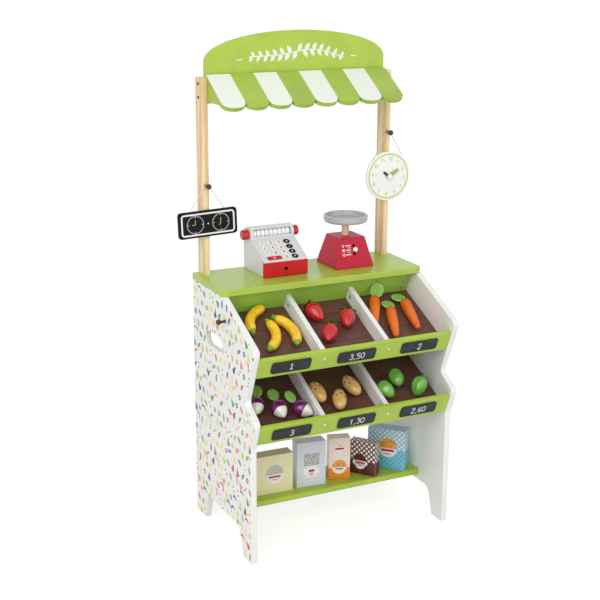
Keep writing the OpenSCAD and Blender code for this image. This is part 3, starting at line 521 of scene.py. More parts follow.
def soften(bm, limit=33.0):
    """Smooth shading, with a crease where two faces meet at more than the limit in degrees."""
    for face in bm.faces:
        face.smooth = True
    for edge in bm.edges:
        edge.smooth = len(edge.link_faces) == 2 and edge.calc_face_angle(0.0) < math.radians(limit)


def eased(node, material, edge, least=20.0):
    """A copy of a CAD board with rounded edges, where a loop of edges reaches at least so far."""
    mesh = nodes[node].data.copy()
    mesh.materials.clear()
    bm = bmesh.new()
    bm.from_mesh(mesh)
    bmesh.ops.remove_doubles(bm, verts=bm.verts, dist=WELD)
    bmesh.ops.dissolve_limit(bm, angle_limit=math.radians(FLAT_DEGREES), verts=bm.verts, edges=bm.edges)
    sharp = [e for e in bm.edges
             if len(e.link_faces) == 2 and e.calc_face_angle(0.0) > math.radians(SHARP_DEGREES)]
    chosen = []
    for loop in edge_loops(sharp):
        spots = [v.co for e in loop for v in e.verts]
        reach = max(max(p[i] for p in spots) - min(p[i] for p in spots) for i in range(3))
        if reach > least * MM:
            chosen += loop
    bmesh.ops.bevel(bm, geom=chosen, offset=edge * MM, segments=3, profile=0.5,
                    affect="EDGES", clamp_overlap=False)
    soften(bm)
    bm.to_mesh(mesh)
    bm.free()
    obj = bpy.data.objects.new(node + "_painted", mesh)
    settle(obj, node, material)
    obj.modifiers.new("even_normals", "WEIGHTED_NORMAL").keep_sharp = True


print("edges sharper than", SHARP_DEGREES, "degrees are eased")

# %% [markdown]
# ## The boards of the stall
# Each board gets its paint and its own rounding in millimetres: thick boards are sanded rounder than
# thin ones. Screws, nuts, dowels and pegs are already right as solids, so they only get a finish.

# %% The boards of the stall
PANEL_EDGE = 1.8
for node, edge in (("sign_board", 1.6), ("left_awning_cheek", 1.0), ("right_awning_cheek", 1.0),
                   ("upper_tray_front", 1.4), ("lower_tray_front", 1.4), ("bottom_shelf", 0.8)):
    eased(node, lime_paint, edge)
# the tray backs take the greener lime of painted shade
for tray in ("upper", "lower"):
    eased(tray + "_tray_back", tray_back_shade_paint, 1.0)
eased("counter_top", counter_paint, 2.2, least=60.0)
for tray in ("upper", "lower"):
    for side in ("left", "right"):
        eased(f"{tray}_{side}_divider", white_paint, 1.2)
for tray in ("upper", "lower"):
    eased(tray + "_tray_base", brown_stain, 0.6)
for side in ("left", "right"):
    eased(side + "_post", pine_up, 1.9)
eased("tray_corner_blocks", pine_deep, 0.8)
eased("right_side_panel", white_paint, PANEL_EDGE)


def coat_node(node, material):
    """Keeps the CAD shape and gives it a finish."""
    nodes[node].data.materials.clear()
    nodes[node].data.materials.append(material)


for node in ("tray_screws", "block_screws", "barrel_nuts"):
    coat_node(node, steel)
coat_node("post_screws", black_steel)
coat_node("frame_dowels", pine_across)
coat_node("hanging_pegs", dark_wood)

# %% [markdown]
# ## A printed left panel
# The left panel carries a small all-over print on its outer face. An all-over print is a repeat: the
# face is cut into cells, each cell picks a turn, a colour and a motif by chance, and the motif is
# shifted a little so that no rows show. White Noise of the cell's number gives the same chance every
# time. First come the cells, and in each of them its own turned coordinates u and v.

# %% The cells of the print
CELL, MOTIF, SHIFT = 27.0, 2.0, 5.0
TURN_RANGE = 2.4
panel_print, at, shader = finish("white_board_with_print")
clouds = paint_surface(at, shader, gloss=0.36)
x, y, z = parts(at)
row = z * (1000.0 / CELL)
across = y * (1000.0 / CELL) + row.maths("FLOOR").maths("MODULO", 2.0) * 0.5
cell_y, cell_z = across.maths("FLOOR"), row.maths("FLOOR")
cell = at.node("ShaderNodeCombineXYZ", inputs={0: cell_y, 1: cell_z, 2: 0.37})
any_turn, any_y, any_z, any_motif, any_ink = (
    at.node("ShaderNodeTexWhiteNoise", {"noise_dimensions": "4D"},
            {"Vector": cell, "W": float(k)}, out="Value")
    for k in range(5))
turn = any_turn * TURN_RANGE + (math.pi - TURN_RANGE) / 2
off_y = (across - cell_y - 0.5) * CELL - (any_y - 0.5) * SHIFT
off_z = (row - cell_z - 0.5) * CELL - (any_z - 0.5) * SHIFT
cos_t, sin_t = turn.maths("COSINE"), turn.maths("SINE")
u = (off_y * cos_t + off_z * sin_t) / MOTIF
v = (off_z * cos_t - off_y * sin_t) / MOTIF
print("print cells of", CELL, "mm")

# %% [markdown]
# ## The motifs of the print
# The motifs are plain ones: a leaf with a vein, a drop, a ring, a pair of dots and a bean. Each is a
# mask in u and v. A chance between 0 and 1 is cut into five shares, one to a motif, and a second one
# picks the ink. Ink lies only on the outer face, where x is below that of the panel's skin.

# %% The motifs of the print
PANEL_SKIN_X = -0.2643
far = (u * u + v * v).maths("SQRT")
leaf = both(abs(v) + u * u / 15.0 < 2.3, abs(u) < 5.8)
leaf = both(leaf, either(abs(v) > 0.3, u > 2.5))
drop = both(far < 5.6, abs(v) < 2.5 - u * 0.42)
ring = both(far < 3.2, far > 1.2)
dots = both(abs(v) < 1.25, both(abs(abs(u) - 2.9) < 1.25, abs(u) < 5.0))
bean = both(abs(far - 6.0 + v * 0.4) < 1.5, u > 1.0)
motif = both(any_motif < 0.34, leaf)
for low, high, mask in ((0.34, 0.56, drop), (0.56, 0.7, ring), (0.7, 0.82, dots), (0.82, 1.0, bean)):
    motif = either(motif, both(both(any_motif > low, any_motif < high), mask))
motif = both(motif, x < PANEL_SKIN_X)
inks = any_ink.node("ShaderNodeValToRGB", inputs={0: any_ink}, stops=[
    (0.0, rgb(62, 40, 112)), (0.2, rgb(96, 142, 62)), (0.36, rgb(244, 220, 56)), (0.58, rgb(198, 206, 78)),
    (0.7, rgb(232, 140, 74)), (0.82, rgb(204, 40, 52)), (0.93, rgb(50, 84, 52))])
inks.socket.node.color_ramp.interpolation = "CONSTANT"
plain = pooled(clouds, shade(WHITE, WHITE_TONE), WHITE)
feed(shader, base_color=blend(motif, plain, inks))
eased("left_side_panel", panel_print, PANEL_EDGE)
print("inks in the print:", len(inks.socket.node.color_ramp.elements))

# %% [markdown]
# ## The striped awning
# The awning is one scalloped board with white stripes painted on its upper face, one to every second
# scallop, while its edges and underside stay lime. The board's own slope gives a third coordinate,
# its height above the underside, and white is allowed only above the rounded edge.

# %% The striped awning
SIGN_Y = 154.0
AWNING_TILT, AWNING_T, AWNING_EDGE = math.radians(32.0), 12.0, 0.7
AWNING_Z = 1081.0 - AWNING_T * math.cos(AWNING_TILT) + 6.0
AWNING_HALF, SCALLOPS = 235.0, 8
LOBE = AWNING_HALF * 2 / SCALLOPS
awning_paint, at, shader = finish("striped_awning_paint")
clouds = paint_surface(at, shader, gloss=0.34)
x, y, z = parts(at)
rise = (z - AWNING_Z * MM) * math.cos(AWNING_TILT) - (y - SIGN_Y * MM) * math.sin(AWNING_TILT)
lobe = ((x + AWNING_HALF * MM) / (LOBE * MM)).maths("FLOOR").maths("MODULO", 2.0)
stripe = both(lobe < 0.5, rise > (AWNING_T - AWNING_EDGE) * MM)
awning_lime = pooled(clouds, shade(rgb(162, 190, 68), 0.92), rgb(166, 194, 72))
feed(shader, base_color=blend(stripe, awning_lime, rgb(240, 242, 234)))
eased("awning_panel", awning_paint, 1.0)
print("stripe width", LOBE, "mm")

# %% [markdown]
# ## Painted marks as thin ribbons
# Chalk prices, key digits, dial marks and the sign's sprig are strokes of paint. A stroke could be a
# texture, but as geometry it stays crisp from any distance. `ribbon` turns a line into a thin closed
# strip, `plate` turns an outline into a thin closed sheet, and both collect into one mesh.

# %% Ribbons and plates
def plate(shape, outline, thick, base=0.0):
    """Adds a thin closed sheet inside an outline."""
    verts, faces = shape
    n, start = len(outline), len(verts)
    verts += [(x, y, base) for x, y in outline] + [(x, y, base + thick) for x, y in outline]
    faces.append([start + n + i for i in range(n)])
    faces.append([start + n - 1 - i for i in range(n)])
    faces += [[start + i, start + (i + 1) % n, start + n + (i + 1) % n, start + n + i] for i in range(n)]


def ribbon(shape, line, width, thick, closed=False, base=0.0):
    """Adds a thin closed strip along a line."""
    verts, faces = shape
    line = [Vector(p) for p in line]
    n, start = len(line), len(verts)
    for i, p in enumerate(line):
        before = line[i - 1] if i or closed else p
        after = line[(i + 1) % n] if i < n - 1 or closed else p
        d = (after - before).normalized()
        side = Vector((-d.y, d.x)) * width / 2
        # strokes that cross must not share one height, so each grows a little along its line
        top = base + thick * (1.0 + 0.3 * i / n + 0.04 * (start // 4 % 5))
        for q in (p + side, p - side):
            verts += [(q.x, q.y, base), (q.x, q.y, top)]
    for i in range(n if closed else n - 1):
        a, b = start + 4 * i, start + 4 * ((i + 1) % n)
        faces += [[a + 1, a + 3, b + 3, b + 1], [a, b, b + 2, a + 2],
                  [a, a + 1, b + 1, b], [a + 2, b + 2, b + 3, a + 3]]
    if not closed:
        last = start + 4 * (n - 1)
        faces += [[start, start + 2, start + 3, start + 1], [last, last + 1, last + 3, last + 2]]


def circle(cx, cy, r, n=24, r2=None):
    """A round outline, or an oval one with a second radius."""
    turns = [2 * math.pi * k / n for k in range(n)]
    return [(cx + r * math.cos(a), cy + (r2 or r) * math.sin(a)) for a in turns]


def round_box(w, h, r, n=6):
    """A rectangle about the origin with rounded corners."""
    made = []
    for corner, (sx, sy) in enumerate(((1, 1), (-1, 1), (-1, -1), (1, -1))):
        turns = [math.radians(90 * corner + 90 * k / n) for k in range(n + 1)]
        made += [(sx * (w / 2 - r) + r * math.cos(a), sy * (h / 2 - r) + r * math.sin(a)) for a in turns]
    return made


print("outlines:", [f.__name__ for f in (circle, round_box)])

# %% [markdown]
# ## Figures drawn by hand
# A painted figure is one or two strokes of a brush, so each digit is a short list of the points that
# the brush passes, in a box one high and about 0.6 wide. Round digits run smoothly through their
# points. The letter I stands for a one with a foot, as it is chalked on a slate.

# %% Figures drawn by hand
DIGITS = {
    "0": [circle(0.3, 0.5, 0.27, 16, 0.47)],
    "1": [[(0.12, 0.76), (0.36, 0.98), (0.33, 0.02)]],
    "2": [[(0.06, 0.76), (0.16, 0.94), (0.38, 0.97), (0.52, 0.78), (0.42, 0.52),
           (0.06, 0.03), (0.56, 0.04)]],
    "3": [[(0.08, 0.88), (0.3, 0.99), (0.51, 0.82), (0.4, 0.58), (0.24, 0.54),
           (0.45, 0.48), (0.53, 0.24), (0.34, 0.02), (0.06, 0.1)]],
    "4": [[(0.42, 0.02), (0.42, 0.98), (0.05, 0.3), (0.58, 0.3)]],
    "5": [[(0.52, 0.96), (0.14, 0.96), (0.1, 0.56), (0.3, 0.62),
           (0.5, 0.5), (0.5, 0.2), (0.3, 0.02), (0.07, 0.1)]],
    "6": [[(0.46, 0.96), (0.2, 0.74), (0.08, 0.36), (0.16, 0.08), (0.36, 0.02),
           (0.52, 0.22), (0.44, 0.46), (0.26, 0.5), (0.1, 0.34)]],
    "7": [[(0.05, 0.95), (0.55, 0.95), (0.24, 0.02)]],
    "8": [[(0.3, 0.52), (0.1, 0.7), (0.16, 0.94), (0.42, 0.95), (0.5, 0.72), (0.3, 0.52),
           (0.07, 0.27), (0.18, 0.03), (0.42, 0.03), (0.53, 0.27), (0.31, 0.51)]],
    "9": [[(0.5, 0.66), (0.34, 0.5), (0.13, 0.58), (0.09, 0.82), (0.28, 0.98),
           (0.48, 0.88), (0.5, 0.66), (0.44, 0.3), (0.24, 0.02)]],
    "I": [[(0.14, 0.76), (0.36, 0.98), (0.35, 0.03)], [(0.12, 0.04), (0.58, 0.02)]],
    ",": [[(0.2, 0.1), (0.19, -0.02), (0.1, -0.16)]],
}
SMOOTH_DIGITS = "235689"
DIGIT_PITCH, COMMA_PITCH, PEN_START = 0.66, 0.4, 0.03


def through(points, steps):
    """A smooth line through all the points."""
    made = []
    for i in range(len(points) - 1):
        a, b, c, d = (points[min(max(k, 0), len(points) - 1)] for k in (i - 1, i, i + 1, i + 2))
        for k in range(steps):
            t = k / steps
            made.append(0.5 * ((2 * b) + (c - a) * t + (2 * a - 5 * b + 4 * c - d) * t * t
                               + (3 * b - a - 3 * c + d) * t ** 3))
    return made + [points[-1]]


def digits(shape, text, x, y, height, width, thick, base=0.0):
    """Writes numbers with their middle at x, y."""
    pitch = [COMMA_PITCH if c == "," else DIGIT_PITCH for c in text]
    pen = -sum(pitch) / 2 + PEN_START
    for c, step in zip(text, pitch):
        for stroke in DIGITS[c]:
            line = [Vector((px + pen, py - 0.5)) * height + Vector((x, y)) for px, py in stroke]
            if c in SMOOTH_DIGITS:
                line = through(line, 4)
            ribbon(shape, line, width, thick, closed=c == "0", base=base)
        pen += step


print("digits drawn:", "".join(DIGITS))

# %% [markdown]
# ## Marks find their place
# The strokes are collected flat, in millimetres, and then set on a surface by one matrix: its x and
# y lie on the surface and its z points out. An ink is a dull paint, worn a little by small noise.

# %% Marks and inks
def mesh_of(name, shape):
    """A mesh from corners in millimetres and faces."""
    mesh = bpy.data.meshes.new(name)
    mesh.from_pydata([tuple(c * MM for c in v) for v in shape[0]], [], shape[1])
    return mesh


def marks(name, shape, material, place, body, slot):
    """Turns collected ribbons and plates into a piece at its place."""
    obj = bpy.data.objects.new(name, mesh_of(name, shape))
    obj.matrix_world = place
    settle(obj, None, material, body, slot)


def facing(origin, x_axis, y_axis):
    """A frame at a point in millimetres: x and y lie on the surface, z points out of it."""
    x_axis, y_axis = Vector(x_axis).normalized(), Vector(y_axis).normalized()
    turn = Matrix((x_axis, y_axis, x_axis.cross(y_axis))).transposed().to_4x4()
    return Matrix.Translation(Vector(origin) * MM) @ turn


def ink(name, colour, gloss, mottle=0.88, size=700.0, shine=0.5):
    material, at, shader = finish(name, specular_ior_level=shine)
    worn = noise(at, size, 3.0)
    feed(shader, base_color=pooled(worn, shade(colour, mottle), colour, top=0.6),
         roughness=worn * 0.15 + gloss)
    return material


chalk = ink("chalk", rgb(232, 232, 228), 0.75, 0.55, 900.0)
white_ink = ink("white_print", rgb(244, 244, 242), 0.35)
red_ink = ink("red_print", rgb(200, 30, 40), 0.35, shine=0.25)
black_ink = ink("black_print", rgb(20, 20, 22), 0.3, 0.8, shine=0.2)
print("inks:", [m.name for m in (chalk, white_ink, red_ink, black_ink)])

# %% [markdown]
# ## Chalk prices on the slates
# Each tray rail carries three small slates with a price in chalk. The tray's slope is one rotation,
# so a frame that sits in the tray places the slates' digits and, later, all of the produce.

# %% Chalk prices
TRAY_TILT, TRAY_BASE_T = math.radians(24.5), 12.0
BOARD_T, SLATE_T, RAIL_H = 15.0, 3.0, 53.0
LOWER_TRAY = (-180.0 + (RAIL_H + BOARD_T) * math.sin(TRAY_TILT), 290.0)
UPPER_TRAY = (LOWER_TRAY[0] + 4.0, LOWER_TRAY[1] + 157.0)
BAY = 500.0 / 3
PRICE_H, CHALK_W, CHALK_T = 17.0, 2.3, 0.25


def in_tray(tray, x, u, v):
    """A frame in a tray: x across, y up the slope, z square to the base."""
    place = Matrix.Translation(Vector((0, *tray)) * MM) @ Matrix.Rotation(TRAY_TILT, 4, "X")
    return place @ Matrix.Translation(Vector((x, u, v)) * MM)


eased("price_slates", blackboard, 0.6, least=25.0)
for tray, name, prices in ((UPPER_TRAY, "upper", ("I", "3,50", "2")),
                           (LOWER_TRAY, "lower", ("3", "1,30", "2,60"))):
    shape = ([], [])
    for bay, price in zip((-1, 0, 1), prices):
        digits(shape, price, bay * BAY, RAIL_H / 2, PRICE_H, CHALK_W, CHALK_T)
    face = in_tray(tray, 0, -SLATE_T, 0) @ Matrix.Rotation(math.pi / 2, 4, "X")
    marks(name + "_chalk_prices", shape, chalk, face, "stall", "slate_board")
print("slates", round(BAY, 1), "mm apart")

# %% [markdown]
# ## The sign's sprig
# The arched sign above the awning carries a plain garland in white paint: one wavy stem, leaves in
# pairs that grow smaller towards the ends, and a short dash at either side. Each is a thin plate of
# paint, so it keeps a real edge that catches the light.

# %% The sign's sprig
SPRIG_HALF, SPRIG_Z, STEM_STEP, STEM_W = 124, 1132.0, 4, 2.4
LEAF_PITCH, LEAF_APART, LEAF_SIZE, LEAF_SLIM = 19.0, 2.6, 21.0, 0.26
STEM_WAVE, STEM_WAVE_L, STEM_ARCH = 5.0, 31.0, 1100.0
DASH_FROM, DASH_TO, DASH_W = (143.0, -14.0), (157.0, -16.0), 2.6
PAIRS_EACH_WAY, LEAF_SHRINK = 6, 1.2
PAINT_T = 0.3


def stem_at(x):
    return SPRIG_Z + STEM_WAVE * math.sin(x / STEM_WAVE_L) - x * x / STEM_ARCH


def leaf_outline(foot, tip):
    """A pointed leaf from its foot, widest a little below the middle."""
    across = Vector((-tip.y, tip.x)) * LEAF_SLIM
    there = [(i / 8, 1) for i in range(9)]
    back = [(i / 8, -1) for i in range(7, 0, -1)]
    rim = [tuple(foot + tip * t + across * s * math.sin(math.pi * t ** 0.8)) for t, s in there + back]
    return rim[::-1]


shape = ([], [])
ribbon(shape, [(x, stem_at(x)) for x in range(-SPRIG_HALF, SPRIG_HALF + 1, STEM_STEP)], STEM_W, PAINT_T)
for k in range(-PAIRS_EACH_WAY, PAIRS_EACH_WAY + 1):
    for side in (-1, 1):
        x = k * LEAF_PITCH + side * LEAF_APART
        lean = math.radians(58 if k > 0 else 122 if k < 0 else 90 - 24 * side)
        tip = Vector((math.cos(lean), side * math.sin(lean))) * (LEAF_SIZE - abs(k) * LEAF_SHRINK)
        # neighbours that overlap must not share one height
        plate(shape, leaf_outline(Vector((x, stem_at(x))), tip), PAINT_T + 0.05 * (k % 3) + 0.02 * side)
for side in (-1, 1):
    ribbon(shape, [(side * x, SPRIG_Z + z) for x, z in (DASH_FROM, DASH_TO)], DASH_W, PAINT_T)
sign_face = facing((0, SIGN_Y, 0), (1, 0, 0), (0, 0, 1))
marks("sign_sprig", shape, white_ink, sign_face, "stall", "white_paint")
print("sprig leaves:", 2 * (2 * PAIRS_EACH_WAY + 1))

# %% [markdown]
# ## The hours board
# A small blackboard shows when the shop opens and shuts: a white line runs round it, and two painted
# dials have four ticks and a pair of hands each. All of it is drawn in the board's own tilted frame.

# %% The hours board
HOURS_TILT, HOURS_DROP, HOURS_HALF_T = math.radians(2.0), 88.0, 3.5
BORDER_BOX, BORDER_W, STUD_R = (131.0, 49.0, 6.0), 3.8, 1.8
DIAL_R, DIAL_LINE, LONG_HAND, SHORT_HAND = 20.6, 1.9, 11.5, 8.0
TICK_FROM, TICK_TO, TICK_W = 15.5, 19.7, 1.6
hours_black = board_paint("hours_board_black", rgb(18, 17, 18), gloss=0.5, tone=0.8, shine=0.15)
eased("hours_board", hours_black, 1.2)
hours_face = facing((-PEG_X, HOURS_Y - HOURS_HALF_T, LEFT_PEG_Z - HOURS_DROP),
                    (math.cos(HOURS_TILT), 0, math.sin(HOURS_TILT)),
                    (-math.sin(HOURS_TILT), 0, math.cos(HOURS_TILT)))
shape = ([], [])
ribbon(shape, round_box(*BORDER_BOX), BORDER_W, CHALK_T, closed=True)
plate(shape, circle(0, 0, STUD_R, 16), CHALK_T)
marks("hours_border", shape, white_ink, hours_face, "hours_sign", "white_paint")
grey_ink = ink("grey_print", rgb(176, 174, 170), 0.5, 0.8)
shape = ([], [])
for dial_x, hour in ((-32.0, 270), (32.0, 208)):
    ribbon(shape, circle(dial_x, 0, DIAL_R, 40), DIAL_LINE, CHALK_T, closed=True)
    middle = Vector((dial_x, 0))
    for k in range(4):
        d = Vector((math.cos(k * math.pi / 2), math.sin(k * math.pi / 2)))
        ribbon(shape, [middle + d * TICK_FROM, middle + d * TICK_TO], TICK_W, CHALK_T)
    short = Vector((math.sin(math.radians(hour)), math.cos(math.radians(hour)))) * SHORT_HAND
    ribbon(shape, [(dial_x, LONG_HAND), middle, middle + short], DIAL_LINE, CHALK_T)
marks("hours_dials", shape, grey_ink, hours_face, "hours_sign", "white_paint")
print("dials of", 2 * DIAL_R, "mm")

# %% [markdown]
# ## The clock
# The clock is a white disc with a thin green ring, green figures from 1 to 12 and four small dots.
# The whole dial hangs turned by a few degrees. The hands are separate pieces on their own hinges, so
# the figures stay off their path.

# %% The clock
CLOCK_Z, CLOCK_FACE_Y = RIGHT_PEG_Z - 109.0, CLOCK_Y - 4.0
CLOCK_LEAN, RING_R, RING_W, PRINT_T = 7.0, 55.0, 3.2, 0.2
FIGURE_R, FIGURE_H, FIGURE_W, DOTS_AT_R, DOT_R = 44.5, 9.4, 1.6, 35.0, 1.2
eased("clock_face", gloss_white, 1.2, least=40.0)
pale_green = ink("pale_green_print", rgb(186, 212, 92), 0.4, 0.94)
shape = ([], [])
ribbon(shape, circle(0, 0, RING_R, 72), RING_W, PRINT_T, closed=True)
for hour in range(1, 13):
    a = math.radians(30 * hour + CLOCK_LEAN)
    x, z = math.sin(a), math.cos(a)
    digits(shape, str(hour), FIGURE_R * x, FIGURE_R * z, FIGURE_H, FIGURE_W, PRINT_T)
    if hour % 3 == 0:
        plate(shape, circle(DOTS_AT_R * x, DOTS_AT_R * z, DOT_R, 12), PRINT_T)
clock_face = facing((PEG_X, CLOCK_FACE_Y, CLOCK_Z), (1, 0, 0), (0, 0, 1))
marks("clock_figures", shape, pale_green, clock_face, "clock", "white_paint")
hand_green = board_paint("hand_green_paint", rgb(150, 192, 62), gloss=0.3)
hand_brown = board_paint("hand_brown_paint", rgb(60, 30, 26), gloss=0.3, tone=0.8)
eased("clock_hour_hand", hand_brown, 0.5, least=9.0)
eased("clock_minute_hand", hand_green, 0.5, least=9.0)
coat_node("clock_pin", gloss_white)
print("clock ring of", 2 * RING_R, "mm")

# %% [markdown]
# ## The till
# The till is a wedge of wood in silver-grey paint. Its paint glitters: fine flakes in a grey lacquer
# show as speckle. Noise at the size of a flake mixes two greys and lifts the metallic value there.

# %% The till's paints
POOL_SCALE, POOL_TOP, POOL_TONE = 60.0, 0.65, 0.86


def flake_paint(name, colour, gloss=0.36):
    material, at, shader = finish(name, coat_weight=0.2, coat_roughness=0.2)
    flakes = noise(at, 1100.0, 3.0, 0.75)
    clouds = noise(at, 30.0, 3.0)
    bright = ramp_between(flakes, 0.36, 0.66)
    feed(shader, base_color=blend(bright, shade(colour, 0.8), colour), metallic=bright * 0.25,
         roughness=clouds * 0.15 + gloss)
    bumped(shader, flakes, 0.12, 0.1)
    return material


def lacquer(name, colour, gloss, coat, shine=0.5):
    """Glossy paint on turned or sawn wood, with faint pooling."""
    material, at, shader = finish(
        name, coat_weight=coat, coat_roughness=0.08, specular_ior_level=shine)
    pools = noise(at, POOL_SCALE, 3.0)
    feed(shader, base_color=pooled(pools, shade(colour, POOL_TONE), colour, top=POOL_TOP),
         roughness=pools * 0.16 + gloss)
    bumped(shader, noise(at, 380.0), 0.08, 0.15)
    return material


silver_paint = flake_paint("silver_flake_paint", rgb(231, 231, 235))
dish_paint = flake_paint("dish_flake_paint", rgb(186, 188, 191), 0.32)
drawer_red = lacquer("drawer_red_lacquer", rgb(208, 14, 28), 0.36, coat=0.12, shine=0.25)
knob_red = lacquer("knob_red_lacquer", rgb(206, 18, 28), 0.16, coat=0.4, shine=0.3)
crimson = lacquer("scale_crimson_lacquer", rgb(198, 16, 54), 0.36, coat=0.12, shine=0.25)
eased("register_body", silver_paint, 1.4, least=30.0)
eased("register_drawer", pine_across, 0.6, least=30.0)
eased("register_drawer_front", drawer_red, 1.4, least=30.0)
coat_node("register_roller_shaft", pine_across)
coat_node("register_number_wheels", gloss_white)
coat_node("register_knobs", knob_red)
print("till paints:", [m.name for m in (silver_paint, drawer_red, knob_red)])

# %% [markdown]
# ## Keys on the till
# The sloped panel has ten white number dots, a wide red key and a column of four black keys with
# plain signs. Each key is a thin printed disc. Their frame lies on the slope, with y running up it.

# %% Keys on the till
TILL_X, TILL_Y, COUNTER_Z = -76.0, 54.0, 616.3
KEYPAD_LIP, KEYPAD_SLOPE = 38.2, (0, 80.0, 42.8)
KEY_COLUMNS, KEY_ROWS = (-37.0, -14.5, 7.0, 28.5), (67.0, 48.5, 30.5, 12.5)
KEY_R, KEY_T, KEY_DIGIT_H, KEY_DIGIT_W, KEY_INK_T = 7.4, 0.5, 8.2, 1.7, 0.15
BLACK_KEY_RX, BLACK_KEY_RY, SIGN_SCALE, SIGN_W = 8.6, 7.6, 1.9, 1.3
WIDE_KEY_X, WIDE_KEY_BOX, WIDE_KEY_T, WIDE_DASH_W = -25.5, (38.0, 12.5, 5.5), 0.6, 2.2
CROSS = ((-1, -1, 1, 1), (-1, 1, 1, -1))
DASH, STEM = (-1.2, 0, 1.2, 0), (0, -1.2, 0, 1.2)
TWO_DASHES = ((-1.2, -0.6, 1.2, -0.6), (-1.2, 0.6, 1.2, 0.6))
keypad = facing((TILL_X, TILL_Y, COUNTER_Z + KEYPAD_LIP), (1, 0, 0), KEYPAD_SLOPE)
white_keys, key_digits, black_keys, key_signs, wide_key = (([], []) for _ in range(5))
last_row, last_column = KEY_ROWS[3], KEY_COLUMNS[3]
for k, text in enumerate("1234567890"):
    x, y = (KEY_COLUMNS[k % 3], KEY_ROWS[k // 3]) if k < 9 else (KEY_COLUMNS[2], last_row)
    plate(white_keys, circle(x, y, KEY_R), KEY_T)
    digits(key_digits, text, x, y, KEY_DIGIT_H, KEY_DIGIT_W, KEY_INK_T, base=KEY_T)
for y, sign in zip(KEY_ROWS, (CROSS, (DASH,), (DASH, STEM), TWO_DASHES)):
    plate(black_keys, circle(last_column, y, BLACK_KEY_RX, 28, BLACK_KEY_RY), KEY_T)
    for x0, y0, x1, y1 in sign:
        stroke = [(last_column + u * SIGN_SCALE, y + v * SIGN_SCALE) for u, v in ((x0, y0), (x1, y1))]
        ribbon(key_signs, stroke, SIGN_W, KEY_INK_T, base=KEY_T)
plate(wide_key, [(x + WIDE_KEY_X, y + last_row) for x, y in round_box(*WIDE_KEY_BOX)], WIDE_KEY_T)
ribbon(key_signs, [(x + WIDE_KEY_X, last_row) for x in (-3.5, 3.5)], WIDE_DASH_W, KEY_INK_T,
       base=WIDE_KEY_T)
for name, shape, material, slot in (("till_white_keys", white_keys, white_ink, "white_paint"),
                                    ("till_key_digits", key_digits, red_ink, "red_paint"),
                                    ("till_black_keys", black_keys, black_ink, "white_paint"),
                                    ("till_key_signs", key_signs, white_ink, "white_paint"),
                                    ("till_wide_key", wide_key, drawer_red, "red_paint")):
    marks(name, shape, material, keypad, "till", slot)
print("key pitch", KEY_ROWS[1] - KEY_ROWS[2], "mm")

# %% [markdown]
# ## The scale
# The scale is a crimson tapered block with a bare wood stem and a turned grey dish. White ticks and
# numbers beside the slot are read against the knob, which rides on its own hinge.

# %% The scale
SCALE_X, SCALE_Y, SCALE_HALF_D = 108.0, 103.0, 53.0
FACE_TILT, FACE_Z = math.atan2(18.0, 73.0), 44.0
TICK_PITCH, TICKS_X = 11.0, -15.0
LONG_TICK, LONG_TICK_W, SHORT_TICK, SHORT_TICK_W = (-6.0, 8.5), 2.2, (-1.0, 7.5), 1.3
NUMBERS_X, NUMBERS_H, NUMBERS_W = -12.5, 6.2, 1.3
eased("scale_base", crimson, 2.0, least=60.0)
coat_node("scale_stem", pine_up)
coat_node("scale_dish", dish_paint)
coat_node("scale_pointer", gloss_white)
face_y = SCALE_Y - SCALE_HALF_D + FACE_Z * math.tan(FACE_TILT)
scale_face = facing((SCALE_X + TICKS_X, face_y, COUNTER_Z + FACE_Z),
                    (1, 0, 0), (0, math.sin(FACE_TILT), math.cos(FACE_TILT)))
shape = ([], [])
for k, text in enumerate(("5", "10", "15")):
    y = TICK_PITCH - TICK_PITCH * k
    ribbon(shape, [(x, y) for x in LONG_TICK], LONG_TICK_W, PRINT_T)
    digits(shape, text, NUMBERS_X, y, NUMBERS_H, NUMBERS_W, PRINT_T)
for y in (TICK_PITCH / 2, -TICK_PITCH / 2):
    ribbon(shape, [(x, y) for x in SHORT_TICK], SHORT_TICK_W, PRINT_T)
marks("scale_ticks", shape, white_ink, scale_face, "scale", "white_paint")
print("scale face leans", round(math.degrees(FACE_TILT), 1), "degrees")

# %% [markdown]
# ## Turned produce
# The toy produce is turned on a lathe and dipped in gloss paint. A lathe shape is a row of rings
# along an axis. `lathe` takes the radius of each ring and may swell it round the axis, which makes
# a pepper's lobes or a potato's lumps. The rings close on one point at either end.

# %% Turned produce
CREASE_DEGREES = 50.0


def band(first, second, sides):
    """Faces between two closed rings of corners, named by where each ring starts."""
    steps = [(k, (k + 1) % sides) for k in range(sides)]
    return [[first + k, first + n, second + n, second + k] for k, n in steps]


def lathe(rings, sides, swell=None):
    """Rings of (place along x, radius), closed at both ends, in millimetres."""
    verts = [(rings[0][0], 0.0, 0.0)]
    for x, r in rings[1:-1]:
        for k in range(sides):
            a = 2 * math.pi * k / sides
            wide = r * (swell(x, a) if swell else 1.0)
            verts.append((x, wide * math.cos(a), wide * math.sin(a)))
    verts.append((rings[-1][0], 0.0, 0.0))
    faces = [[0, 1 + (k + 1) % sides, 1 + k] for k in range(sides)]
    for i in range(len(rings) - 3):
        faces += band(1 + i * sides, 1 + (i + 1) * sides, sides)
    last, rim = len(verts) - 1, 1 + (len(rings) - 3) * sides
    faces += [[last, rim + k, rim + (k + 1) % sides] for k in range(sides)]
    return verts, faces


def piece(name, shape, material, place, node, smooth=True):
    """A new mesh piece, in millimetres in its own frame, at its place."""
    mesh = mesh_of(name, shape)
    bm = bmesh.new()
    bm.from_mesh(mesh)
    bmesh.ops.recalc_face_normals(bm, faces=bm.faces)
    if smooth:
        soften(bm, CREASE_DEGREES)
    bm.to_mesh(mesh)
    bm.free()
    obj = bpy.data.objects.new(name, mesh)
    obj.matrix_world = place
    settle(obj, node, material)


print("lathe and band make rings into a skin")

